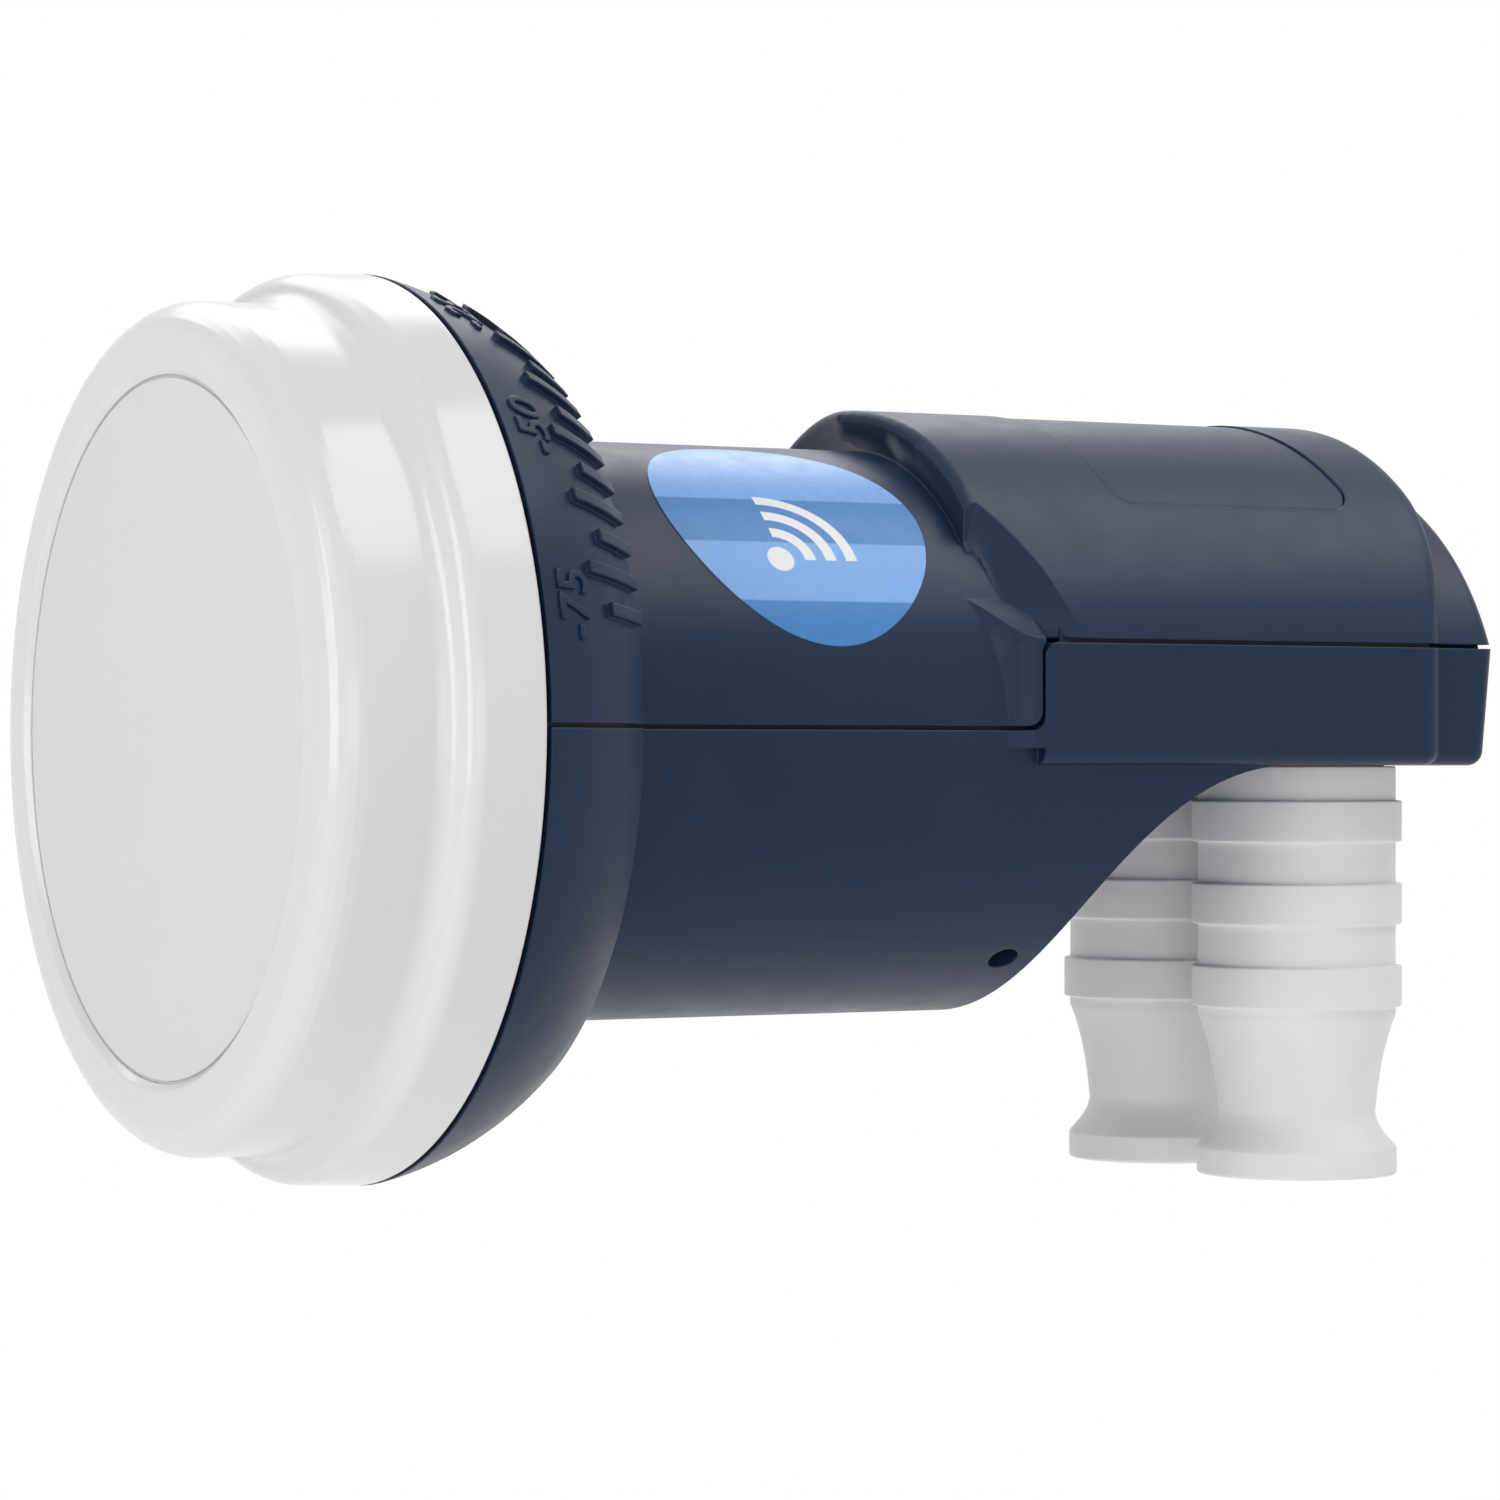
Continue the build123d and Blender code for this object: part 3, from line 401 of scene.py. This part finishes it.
def cap_plastic():
    """Polished white outside the plate's radius; inside it matte and a trace warmer, with a fine grain."""
    polished, plate = (0.705, 0.708, 0.712), (0.705, 0.706, 0.708)
    material, tree, link = new_finish("cap_white_gloss", polished, roughness=0.2, specular=0.5)
    ripple_size, grain_size, grain_depth = 6 * MM, 0.2 * MM, 0.008 * MM
    radius = calculate_vector(tree, "LENGTH", calculate_vector(tree, "MULTIPLY", place(tree), (0, 1, 1)))
    on_plate = stretch(tree, radius, (plate_r - plate_edge) * MM, (plate_r + plate_edge) * MM, 1.0, 0.0)
    link("Base Color", mix_colours(tree, on_plate, polished, plate))
    ripple = stretch(tree, speckle(tree, ripple_size), 0.3, 0.7, 0.16, 0.24)
    link("Roughness", calculate(tree, "MULTIPLY_ADD", on_plate, 0.36, ripple))
    grain = calculate(tree, "MULTIPLY", speckle(tree, grain_size), on_plate)
    link("Normal", relief(tree, grain, grain_depth, 0.4))
    return material


cap_white = cap_plastic()
print("cap front at", round(cap_front, 2), "mm, rim radius", round(cap_rim_r, 2), "mm")

# %% Cap as a turned shell
cap_wall = 1.6
plate_sink = 0.45
groove_width, groove_depth = 0.22, 0.3
cap_side_r = 28.3
cap_edge_round, frame_round, groove_round, groove_floor_round = 2.4, 0.25, 0.06, 0.05
rim_round, inner_step_round, inner_front_round = 0.2, 0.5, 0.8
side_length, step_reach, band_drop = 6.85, 9.65, 0.2
cap_columns = 288
plate_x = cap_front + plate_sink
groove_x = plate_x + groove_depth
inner_x = plate_x + cap_wall
step_start, step_end = cap_front + side_length, cap_front + step_reach
band_r = cap_rim_r - band_drop


def double_curve(start, end, steps=12):
    """Two equal arcs, tangent to the axis at both ends: radius (length² + rise²) / (4 rise) and an angle
    of twice the slope. The second arc is the first one turned about the middle."""
    length, rise = end[0] - start[0], end[1] - start[1]
    arc_r = (length**2 + rise**2) / (4 * rise)
    angle = np.linspace(0, 2 * np.arctan2(rise, length), steps)
    first = np.array(start) + arc_r * np.stack([np.sin(angle), 1 - np.cos(angle)], axis=1)
    second = np.array(start) + np.array(end) - first[::-1]
    return np.concatenate([first, second[1:]])


def turned_shell(name, profile, columns, material, body):
    """Point (s, a) = (along(s), radius(s) sin a, radius(s) cos a), spun about the feed axis.
    The profile starts and ends on the axis, and each of these poles is closed by a fan."""
    along, radius = profile[1:-1].T * MM
    angle = np.linspace(0, 2 * pi, columns, endpoint=False)
    x = np.broadcast_to(along[:, None], (len(along), columns))
    grid = np.stack([x, radius[:, None] * np.sin(angle), radius[:, None] * np.cos(angle)], axis=-1)
    poles = np.array([[profile[0, 0], 0, 0], [profile[-1, 0], 0, 0]]) * MM
    points = np.concatenate([grid.reshape(-1, 3), poles])
    column = np.arange(columns)
    last_row = (len(along) - 1) * columns
    next_column = (column + 1) % columns
    front_pole, rear_pole = np.full(columns, len(points) - 2), np.full(columns, len(points) - 1)
    front_fan = np.stack([front_pole, next_column, column], axis=1)
    rear_fan = np.stack([rear_pole, last_row + column, last_row + next_column], axis=1)
    quads = grid_faces(len(along), columns, False)
    faces = quads.tolist() + front_fan.tolist() + rear_fan.tolist()
    return add_piece(name, points, faces, material, body)


front_corners = [
    (plate_x, 0, 0),
    (plate_x, plate_r - groove_width, groove_round),
    (groove_x, plate_r - groove_width, groove_floor_round),
    (groove_x, plate_r, groove_floor_round),
    (plate_x, plate_r, groove_round),
    (cap_front, plate_r + plate_sink, frame_round),
    (cap_front, cap_side_r, cap_edge_round),
    (step_start, cap_side_r, 0),
]
rear_corners = [
    (step_end, band_r, 0),
    (cap_rear, cap_rim_r, rim_round),
    (cap_rear, cap_rim_r - cap_wall, rim_round),
    (step_start + cap_wall, cap_rim_r - cap_wall, inner_step_round),
    (step_start + cap_wall, cap_side_r - cap_wall, inner_step_round),
    (inner_x, cap_side_r - cap_wall, inner_front_round),
    (inner_x, 0, 0),
]
front_part, rear_part = rounded_profile(front_corners), rounded_profile(rear_corners)
step_curve = double_curve((step_start, cap_side_r), (step_end, band_r))
cap_profile = np.concatenate([front_part, step_curve[1:-1], rear_part])
front_cap = turned_shell("front_cap", cap_profile, cap_columns, cap_white, "housing")
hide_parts("radome_cap")

# %% [markdown]
# ## The weather boots
#
# Each boot is a soft white rubber sleeve with three flat ribs, a waist that grips the cable and a flared
# mouth. It slides off downwards, so it is hollow and its inside is drawn too. The rubber is matte, with a
# powdery bloom that makes it slightly uneven.

# %% White rubber
def boot_rubber():
    """Matte white: a faint cloudy bloom in the colour and a soft orange-peel relief."""
    clean, bloom = (0.800, 0.802, 0.804), (0.778, 0.780, 0.784)
    material, tree, link = new_finish("boot_white_rubber", clean, roughness=0.55, specular=0.35)
    cloud_size, gloss_size, peel_size, peel_depth = 5 * MM, 1.2 * MM, 0.35 * MM, 0.012 * MM
    cloud = stretch(tree, speckle(tree, cloud_size), 0.35, 0.65, 0.0, 1.0)
    link("Base Color", mix_colours(tree, cloud, clean, bloom))
    link("Roughness", stretch(tree, speckle(tree, gloss_size), 0.3, 0.7, 0.5, 0.62))
    link("Normal", relief(tree, speckle(tree, peel_size), peel_depth, 0.4))
    return material


rubber = boot_rubber()
print("white rubber ready")

# %% Boots as turned sleeves
rib_count, rib_pitch, rib_height, rib_start = 3, 6.0, 3.0, 2.5
boot_body_r, boot_bore_r, cable_r, mouth_r, waist_r, flare_r = 7.2, 6.5, 3.6, 5.9, 5.76, 7.27
lip_length, flare_length, grip_length, throat_length = 2.1, 2.8, 2.9, 5.0
top_lip, shoulder_length, taper_hollow = 0.35, 0.6, 0.2
bell_share, bell_rise, flare_edge = 0.45, 0.22, 0.1
top_round, rib_foot_round, rib_edge_round = 0.15, 0.1, 0.16
lip_round, mouth_round, funnel_round, bore_round, bore_lip_round = 0.25, 0.2, 0.4, 0.6, 0.1
boot_columns = 128


def arc_through(start, middle, end, steps=14):
    """A shallow curve through three points: the parabola that passes the middle one halfway."""
    t = np.linspace(0, 1, steps)[:, None]
    start, middle, end = (np.array(p, float) for p in (start, middle, end))
    return start * (1 - t) ** 2 + (4 * middle - start - end) * t * (1 - t) + end * t**2


def boot_profile(top, tip, rib_r):
    """Closed section of (height, radius), down the outside and back up the inside."""
    flare = tip + lip_length
    waist = flare + flare_length
    throat = waist + grip_length
    outside = [(top, boot_body_r - top_lip, 0), (top, boot_body_r, top_round)]
    for i in range(rib_count):
        rib_top = top - rib_start - i * rib_pitch
        outside += [
            (rib_top, boot_body_r, rib_foot_round),
            (rib_top, rib_r, rib_edge_round),
            (rib_top - rib_height, rib_r, rib_edge_round),
            (rib_top - rib_height, boot_body_r, rib_foot_round),
        ]
    shoulder = top - rib_start - (rib_count - 1) * rib_pitch - rib_height
    taper_top = shoulder - shoulder_length
    outside.append((taper_top, boot_body_r, 0))
    middle = ((shoulder + waist) / 2, (boot_body_r + waist_r) / 2 - taper_hollow)
    taper = arc_through((taper_top, boot_body_r), middle, (waist, waist_r))
    bell_middle = (waist - flare_length * bell_share, waist_r + bell_rise)
    bell = arc_through((waist, waist_r), bell_middle, (flare, flare_r - flare_edge))
    rim = [
        (flare, flare_r - flare_edge, 0),
        (flare - 2 * flare_edge, flare_r, flare_edge),
        (tip, flare_r, lip_round),
        (tip, mouth_r, mouth_round),
        (flare, (mouth_r + cable_r) / 2, funnel_round),
        (waist, cable_r, bore_round),
        (throat, cable_r, bore_round),
        (throat + throat_length, boot_bore_r, bore_round),
        (top, boot_bore_r, bore_lip_round),
        (top, boot_body_r - top_lip, 0),
    ]
    return np.concatenate([rounded_profile(outside), taper[1:], bell[1:-1], rounded_profile(rim)[:-1]])


def turned_sleeve(name, profile, centre, columns, material, body):
    """Point (s, a) = centre + (radius(s) cos a, radius(s) sin a, height(s)), closed both ways."""
    height, radius = profile.T * MM
    angle = np.linspace(0, 2 * pi, columns, endpoint=False)
    x = centre[0] + radius[:, None] * np.cos(angle)
    y = centre[1] + radius[:, None] * np.sin(angle)
    z = np.broadcast_to(height[:, None], x.shape)
    points = np.stack([x, y, z], axis=-1).reshape(-1, 3)
    faces = grid_faces(len(profile), columns, True)[:, ::-1]
    return add_piece(name, points, faces.tolist(), material, body)


for side in ("left", "right"):
    low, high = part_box(f"weather_boot_{side}")
    section = boot_profile(high.z / MM, low.z / MM, (high.x - low.x) / 2 / MM)
    centre = (low + high) / 2
    body = f"boot_{side}"
    boot = turned_sleeve(f"ribbed_boot_{side}", section, centre, boot_columns, rubber, body)
    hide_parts(f"weather_boot_{side}")

# %% [markdown]
# ## The threaded sockets
#
# Under each boot is a nickel-plated coax socket: a thread of 32 turns to the inch, a plain collar, the
# flats of a nut and a shank. All of it is one surface whose radius depends on the angle and the height. The
# thread is a ridge that climbs one pitch per turn, and the nut is a hexagon written in polar form.

# %% Nickel plate
def plated_metal(name, colour, roughness, grain_size=0.8 * MM):
    """Bright plating: the gloss wavers a little, and a trace of tarnish clouds the colour."""
    tarnish, grain_depth = 0.86, 0.004 * MM
    dull = tuple(c * tarnish for c in colour)
    material, tree, link = new_finish(name, colour, roughness, metallic=1.0)
    cloud = stretch(tree, speckle(tree, grain_size * 3, 3), 0.4, 0.75, 0.0, 1.0)
    link("Base Color", mix_colours(tree, cloud, colour, dull))
    link("Roughness", stretch(tree, speckle(tree, grain_size), 0.3, 0.7, roughness * 0.8, roughness * 1.25))
    link("Normal", relief(tree, speckle(tree, grain_size / 6), grain_depth, 0.3))
    return material


nickel = plated_metal("socket_nickel_plate", (0.66, 0.63, 0.57), 0.24)
print("nickel plate ready")

# %% Sockets as one surface each
thread_r, thread_pitch, thread_depth, thread_length = 9.525 / 2, 25.4 / 32, 0.42, 7.6
collar_r, shank_r, bore_r = 5.0, 5.0, 3.1
nut_flats, nut_low, nut_high = 11.0, 0.2, 1.7
tip_chamfer = 0.5
socket_columns, rows_per_turn, bore_rows, row_gap = 96, 10, 6, 0.01
sharp_from = radians(35)


def socket_radius(height, angle, tip):
    """Outer radius at a height and angle: helical thread, collar, hexagon, shank.
    Thread: crest - depth * |saw|, where saw goes from -1 to 1 over each pitch of the height, less one
    pitch for each turn of the angle. Hexagon: half the flats / cos(angle folded into a sixth of a turn)."""
    phase = ((height - thread_pitch * angle / (2 * pi)) / thread_pitch) % 1
    fade = np.clip((tip + thread_length - height) / thread_pitch, 0, 1)
    thread = thread_r - thread_depth * fade * np.abs(2 * phase - 1)
    thread = np.minimum(thread, thread_r - tip_chamfer + np.maximum(height - tip, 0))
    fold = (angle + pi / 6) % (pi / 3) - pi / 6
    hexagon = nut_flats / 2 / np.cos(fold)
    radius = np.where(height < tip + thread_length, thread, collar_r)
    radius = np.where((height > nut_low) & (height < nut_high), hexagon, radius)
    return np.where(height >= nut_high, shank_r, radius)


def socket_surface(name, node):
    """The socket's outside from tip to top, then straight down its bore, as one closed grid."""
    low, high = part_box(node)
    tip, top = low.z / MM, high.z / MM
    thread_end = tip + thread_length
    rises = [
        np.arange(tip, thread_end - row_gap, thread_pitch / rows_per_turn),
        [thread_end - row_gap, thread_end + row_gap, nut_low - row_gap, nut_low + row_gap],
        [nut_high - row_gap, nut_high + row_gap, top],
    ]
    height = np.concatenate(rises)
    angle = np.linspace(0, 2 * pi, socket_columns, endpoint=False)
    outer = socket_radius(height[:, None], angle[None, :], tip)
    inner_height = np.linspace(top, tip, bore_rows)
    radius = np.concatenate([outer, np.full((bore_rows, socket_columns), bore_r)]) * MM
    z = np.concatenate([height, inner_height])[:, None] * MM
    centre = (low + high) / 2
    x, y = centre.x + radius * np.cos(angle), centre.y + radius * np.sin(angle)
    points = np.stack([x, y, np.broadcast_to(z, x.shape)], axis=-1).reshape(-1, 3)
    faces = grid_faces(len(z), socket_columns, True)
    socket = add_piece(name, points, faces.tolist(), nickel, "housing")
    socket.data.set_sharp_from_angle(angle=sharp_from)
    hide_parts(node)


for side in ("left", "right"):
    socket_surface(f"threaded_socket_{side}", f"connector_body_{side}")

# %% [markdown]
# ## Raised numbers on the skew scale
#
# The flange behind the cap carries a scale for turning the unit in its clamp. The ticks are in the solids;
# the numbers are text that is made a mesh and then bent onto the bowl. Writing runs round the feed axis,
# and the figures' tops point at the cap.

# %% Numbers bent onto the flange
bowl_r, bowl_setback, cap_gap = 19.4, 3.85, 0.3
rim_x = cap_rear + cap_gap
number_height, number_rise, number_root, number_foot = 2.55, 0.2, 0.15, 3.7
number_bevel, figure_share, curve_steps = 0.05, 0.7, 6
bowl_centre = np.array([rim_x - bowl_setback, cap_rim_r - np.sqrt(bowl_r**2 - bowl_setback**2)])
rim_angle = acos(bowl_setback / bowl_r)


def flat_number(text):
    """Text as a mesh lying flat: x runs along the writing, y up the letters, z out of the page, in mm."""
    curve = bpy.data.curves.new("number", "FONT")
    curve.body = text
    curve.align_x = "CENTER"
    curve.size = number_height / figure_share
    curve.bevel_depth = number_bevel
    curve.extrude = (number_rise + number_root) / 2 - curve.bevel_depth
    curve.resolution_u = curve_steps
    carrier = bpy.data.objects.new("number", curve)
    bpy.context.scene.collection.objects.link(carrier)
    mesh = bpy.data.meshes.new_from_object(carrier.evaluated_get(bpy.context.evaluated_depsgraph_get()))
    bpy.data.objects.remove(carrier)
    bpy.data.curves.remove(curve)
    return mesh


def bend_number(mesh, degrees):
    """Point (x, y, z) goes to the bowl at arc length foot - y behind the rim, lifted by z, and turned about
    the feed axis by the number's angle plus x over the radius there."""
    flat = np.empty(len(mesh.vertices) * 3)
    mesh.vertices.foreach_get("co", flat)
    across, up, out = flat.reshape(-1, 3).T
    slope = rim_angle - (number_foot - up) / bowl_r
    distance = bowl_r + (number_rise - number_root) / 2 + out
    x = bowl_centre[0] + distance * np.cos(slope)
    radius = bowl_centre[1] + distance * np.sin(slope)
    turn = radians(degrees) + across / radius.mean()
    bent = np.stack([x, radius * np.sin(turn), radius * np.cos(turn)], axis=-1) * MM
    mesh.vertices.foreach_set("co", bent.ravel())
    mesh.update()


for degrees in (-75, -50, -25, 0, 25, 50, 75):
    mesh = flat_number(str(degrees))
    bend_number(mesh, degrees)
    mesh.materials.append(navy)
    title = f"scale_number_{'minus_' if degrees < 0 else ''}{abs(degrees)}"
    mesh.name = title
    number = bpy.data.objects.new(title, mesh)
    bpy.context.scene.collection.objects.link(number)
    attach(number, "housing")
    print(title, "vertices:", len(mesh.vertices))

# %% [markdown]
# ## The printed label
#
# The label is a thin glossy foil on the neck, printed in bands of two blues. The bands lie level, so they
# follow the height alone. Its only sign is a generic one: a dot with waves going out from it, white, drawn
# by the distance from one point on the foil.

# %% Printed foil
deep_bands, band_blur = ((-20.0, 8.6), (12.6, 15.6)), 0.05
sign_place = (-0.6 * MM, -16.4 * MM, 11.4 * MM)
dot_r, dot_blur = 1.0, 0.05
ring_radii, ring_full, ring_faded = (2.3, 3.9, 5.5), 0.38, 0.46


def printed_foil():
    """Two blues by height, and a white dot with three quarter rings, each ring a range of distance."""
    light, deep, white = (0.210, 0.425, 0.840), (0.070, 0.240, 0.565), (0.860, 0.875, 0.890)
    material, tree, link = new_finish("label_blue_foil", light, roughness=0.28, specular=0.2)
    height = coordinate(tree, 2)
    share = 0.0
    for band_low, band_high in deep_bands:
        above = stretch(tree, height, (band_low - band_blur) * MM, (band_low + band_blur) * MM, 0.0, 1.0)
        below = stretch(tree, height, (band_high - band_blur) * MM, (band_high + band_blur) * MM, 1.0, 0.0)
        share = calculate(tree, "MULTIPLY_ADD", above, below, share)
    print_ink = mix_colours(tree, share, light, deep)
    offset = calculate_vector(tree, "SUBTRACT", place(tree), sign_place)
    distance = calculate_vector(tree, "LENGTH", offset)
    along = add_node(tree, "ShaderNodeSeparateXYZ", {0: offset})
    ahead = calculate(tree, "GREATER_THAN", along.outputs[0], 0.0)
    rising = calculate(tree, "GREATER_THAN", along.outputs[2], 0.0)
    quarter = calculate(tree, "MULTIPLY", ahead, rising)
    sign = stretch(tree, distance, (dot_r - dot_blur) * MM, (dot_r + dot_blur) * MM, 1.0, 0.0)
    for ring in ring_radii:
        off_ring = calculate(tree, "ABSOLUTE", calculate(tree, "SUBTRACT", distance, ring * MM))
        on_ring = stretch(tree, off_ring, ring_full * MM, ring_faded * MM, 1.0, 0.0)
        sign = calculate(tree, "MULTIPLY_ADD", on_ring, quarter, sign)
    link("Base Color", mix_colours(tree, sign, print_ink, white))
    link("Roughness", stretch(tree, speckle(tree, 1.5 * MM), 0.3, 0.7, 0.24, 0.34))
    link("Normal", relief(tree, speckle(tree, 4 * MM), 0.01 * MM, 0.15))
    return material


nodes["side_label"].data.materials[0] = printed_foil()
print("printed foil on side_label")

# %% [markdown]
# ## Inside: casting, board and small parts
#
# Nothing in here shows while the housing is closed, yet each piece gets its own finish, so that the model
# also holds up when it is taken apart: grainy cast zinc, green solder mask with traces, tinned steel,
# black moulded chips, brass and white insulators.

# %% Finishes of the inner pieces
def cast_zinc():
    """Die casting: a matte metal with a mottled skin."""
    light, dark = (0.46, 0.47, 0.48), (0.33, 0.34, 0.35)
    material, tree, link = new_finish("cast_zinc_skin", light, roughness=0.5, metallic=0.9)
    link("Base Color", mix_colours(tree, speckle(tree, 2 * MM, 4), light, dark))
    link("Roughness", stretch(tree, speckle(tree, 0.7 * MM), 0.3, 0.7, 0.42, 0.6))
    link("Normal", relief(tree, speckle(tree, 0.3 * MM, 3), 0.02 * MM, 0.5))
    return material


def solder_mask():
    """Green lacquer over copper: paler where a trace runs beneath, in a brick pattern of traces."""
    green, trace = (0.012, 0.110, 0.035), (0.030, 0.200, 0.065)
    material, tree, link = new_finish("board_green_mask", green, roughness=0.35)
    brick_size, trace_share, trace_height = 3 * MM, 0.06, 0.03 * MM
    feeds = {"Vector": place(tree), "Scale": 1 / brick_size, "Mortar Size": trace_share}
    line = add_node(tree, "ShaderNodeTexBrick", feeds).outputs["Fac"]
    link("Base Color", mix_colours(tree, line, green, trace))
    link("Normal", relief(tree, line, trace_height, 0.5))
    return material


def grainy(name, light, dark, roughness, grain_size):
    """A plain moulded skin: two close shades in soft spots and a fine relief."""
    material, tree, link = new_finish(name, light, roughness)
    grain_depth, smooth, rough = 0.01 * MM, roughness * 0.85, roughness * 1.15
    link("Base Color", mix_colours(tree, speckle(tree, grain_size * 6, 3), light, dark))
    link("Roughness", stretch(tree, speckle(tree, grain_size * 2), 0.3, 0.7, smooth, rough))
    link("Normal", relief(tree, speckle(tree, grain_size), grain_depth, 0.4))
    return material


black_rubber = grainy("seal_black_rubber", (0.018, 0.018, 0.019), (0.030, 0.030, 0.031), 0.7, 0.3 * MM)
black_resin = grainy("chip_black_resin", (0.022, 0.022, 0.023), (0.036, 0.036, 0.038), 0.5, 0.1 * MM)
white_resin = grainy("insulator_white_resin", (0.72, 0.72, 0.70), (0.66, 0.66, 0.64), 0.4, 0.3 * MM)
crystal_steel = plated_metal("crystal_can_steel", (0.62, 0.60, 0.55), 0.3)
tin_plate = plated_metal("shield_tin_plate", (0.60, 0.61, 0.62), 0.35, 2 * MM)
zinc_steel = plated_metal("screw_zinc_steel", (0.56, 0.57, 0.58), 0.32)
tinned_brass = plated_metal("contact_brass_tinned", (0.70, 0.53, 0.27), 0.25)

inner_finishes = (
    (cast_zinc(), ("horn_casting",)),
    (solder_mask(), ("circuit_board",)),
    (black_rubber, ("cap_seal", "connector_seal_left", "connector_seal_right")),
    (black_resin, ("amplifier_transistors", "mixer_chips", "voltage_regulators")),
    (crystal_steel, ("reference_crystal",)),
    (tin_plate, ("shield_cover",)),
    (zinc_steel, ("shield_screws",)),
    (white_resin, ("connector_insulator_left", "connector_insulator_right")),
    (white_resin, ("probe_bead_vertical", "probe_bead_horizontal")),
    (tinned_brass, ("connector_contact_left", "connector_contact_right")),
    (tinned_brass, ("probe_vertical", "probe_horizontal")),
)
for material, dressed in inner_finishes:
    for name in dressed:
        nodes[name].data.materials[0] = material
print("inner pieces dressed:", sum(len(dressed) for _, dressed in inner_finishes))

# %% [markdown]
# ## Studio
#
# The picture has a pure white background. The floor and the world are white only where the camera or a
# reflection looks at them; for the light that falls on the part they keep a plain level. The floor lies
# one boot's travel under the part, so that a boot that is pulled off stands on it. It takes a faint shadow
# near the part and is white further out, so that no horizon shows. It also glows a little, as a lit table
# does, which lightens what faces down.

# %% White floor and world
def seen_directly(tree):
    """1 for rays from the camera, a mirror or glass, and 0 for the light that fills the scene."""
    rays = tree.nodes.new("ShaderNodeLightPath").outputs
    mirrored = calculate(tree, "MAXIMUM", rays["Is Glossy Ray"], rays["Is Transmission Ray"])
    return calculate(tree, "MAXIMUM", rays["Is Camera Ray"], mirrored)


def studio_world(fill):
    """White to look at; a soft grey fill light otherwise."""
    world = bpy.data.worlds.new("studio_world")
    bpy.context.scene.world = world
    world.use_nodes = True
    tree = world.node_tree
    soft = tree.nodes["Background"]
    soft.inputs["Strength"].default_value = fill
    soft.inputs["Color"].default_value = (1, 1, 1, 1)
    white = add_node(tree, "ShaderNodeBackground", {"Color": (1, 1, 1, 1), "Strength": 1.0})
    feeds = {0: seen_directly(tree), 1: soft.outputs[0], 2: white.outputs[0]}
    both = add_node(tree, "ShaderNodeMixShader", feeds)
    tree.links.new(both.outputs[0], tree.nodes["World Output"].inputs["Surface"])


def studio_floor(height, half_size=3.0, shadow_from=0.03, shadow_reach=0.16, table_light=0.2):
    """A wide pale sheet, faintly lit from below: it takes a shadow near the part, and is white far out."""
    near_white = 0.80
    mesh = bpy.data.meshes.new("studio_floor")
    corners = ((-1, -1), (1, -1), (1, 1), (-1, 1))
    mesh.from_pydata([(x * half_size, y * half_size, height) for x, y in corners], [], [(0, 1, 2, 3)])
    material, tree, _ = new_finish("floor_pale", (0.86, 0.86, 0.86), roughness=0.8, specular=0.0)
    shader = tree.nodes["Principled BSDF"]
    shader.inputs["Emission Color"].default_value = (1, 1, 1, 1)
    shader.inputs["Emission Strength"].default_value = table_light
    glow = add_node(tree, "ShaderNodeEmission", {"Color": (1, 1, 1, 1), "Strength": 1.0})
    distance = calculate_vector(tree, "LENGTH", place(tree))
    white_share = stretch(tree, distance, shadow_from, shadow_reach, near_white, 1.0)
    share = calculate(tree, "MULTIPLY", white_share, seen_directly(tree))
    feeds = {0: share, 1: shader.outputs[0], 2: glow.outputs[0]}
    both = add_node(tree, "ShaderNodeMixShader", feeds)
    tree.links.new(both.outputs[0], tree.nodes["Material Output"].inputs["Surface"])
    mesh.materials.append(material)
    floor = bpy.data.objects.new("studio_floor", mesh)
    bpy.context.scene.collection.objects.link(floor)


studio_world(fill=0.28)
boot_travel, floor_gap = 40 * MM, 0.05 * MM
floor_z = cad_low.z - boot_travel - floor_gap
studio_floor(floor_z)
bpy.context.scene.view_settings.view_transform = "Standard"
print("floor at", round(floor_z / MM, 2), "mm")

# %% [markdown]
# ## Lamps
#
# Big soft boxes do the rest: one high beyond the rear end, whose reflection runs along the hood and the
# neck, one behind for the bright crown, one at the left for the cap's plate, and a weak wide one in front
# that reaches under the housing to the boots. Their size sets how soft the highlights are.

# %% Soft boxes
def soft_box(name, place_mm, size_mm, watts):
    """A rectangular area lamp that looks at the part's middle."""
    lamp = bpy.data.lights.new(name, "AREA")
    lamp.shape = "RECTANGLE"
    lamp.size, lamp.size_y = (s * MM for s in size_mm)
    lamp.energy = watts
    carrier = bpy.data.objects.new(name, lamp)
    carrier.location = Vector(place_mm) * MM
    aim = (cad_low + cad_high) / 2 - carrier.location
    carrier.rotation_euler = aim.to_track_quat("-Z", "Y").to_euler()
    bpy.context.scene.collection.objects.link(carrier)


lamps = (
    ("top_box", (260, -220, 520), (560, 330), 1.75),
    ("rear_box", (60, 420, 420), (640, 300), 1.3),
    ("left_box", (-480, -160, 120), (200, 520), 1.18),
    ("front_box", (-180, -580, -10), (500, 300), 0.64),
)
for lamp in lamps:
    soft_box(*lamp)
print("lamps:", len(lamps))
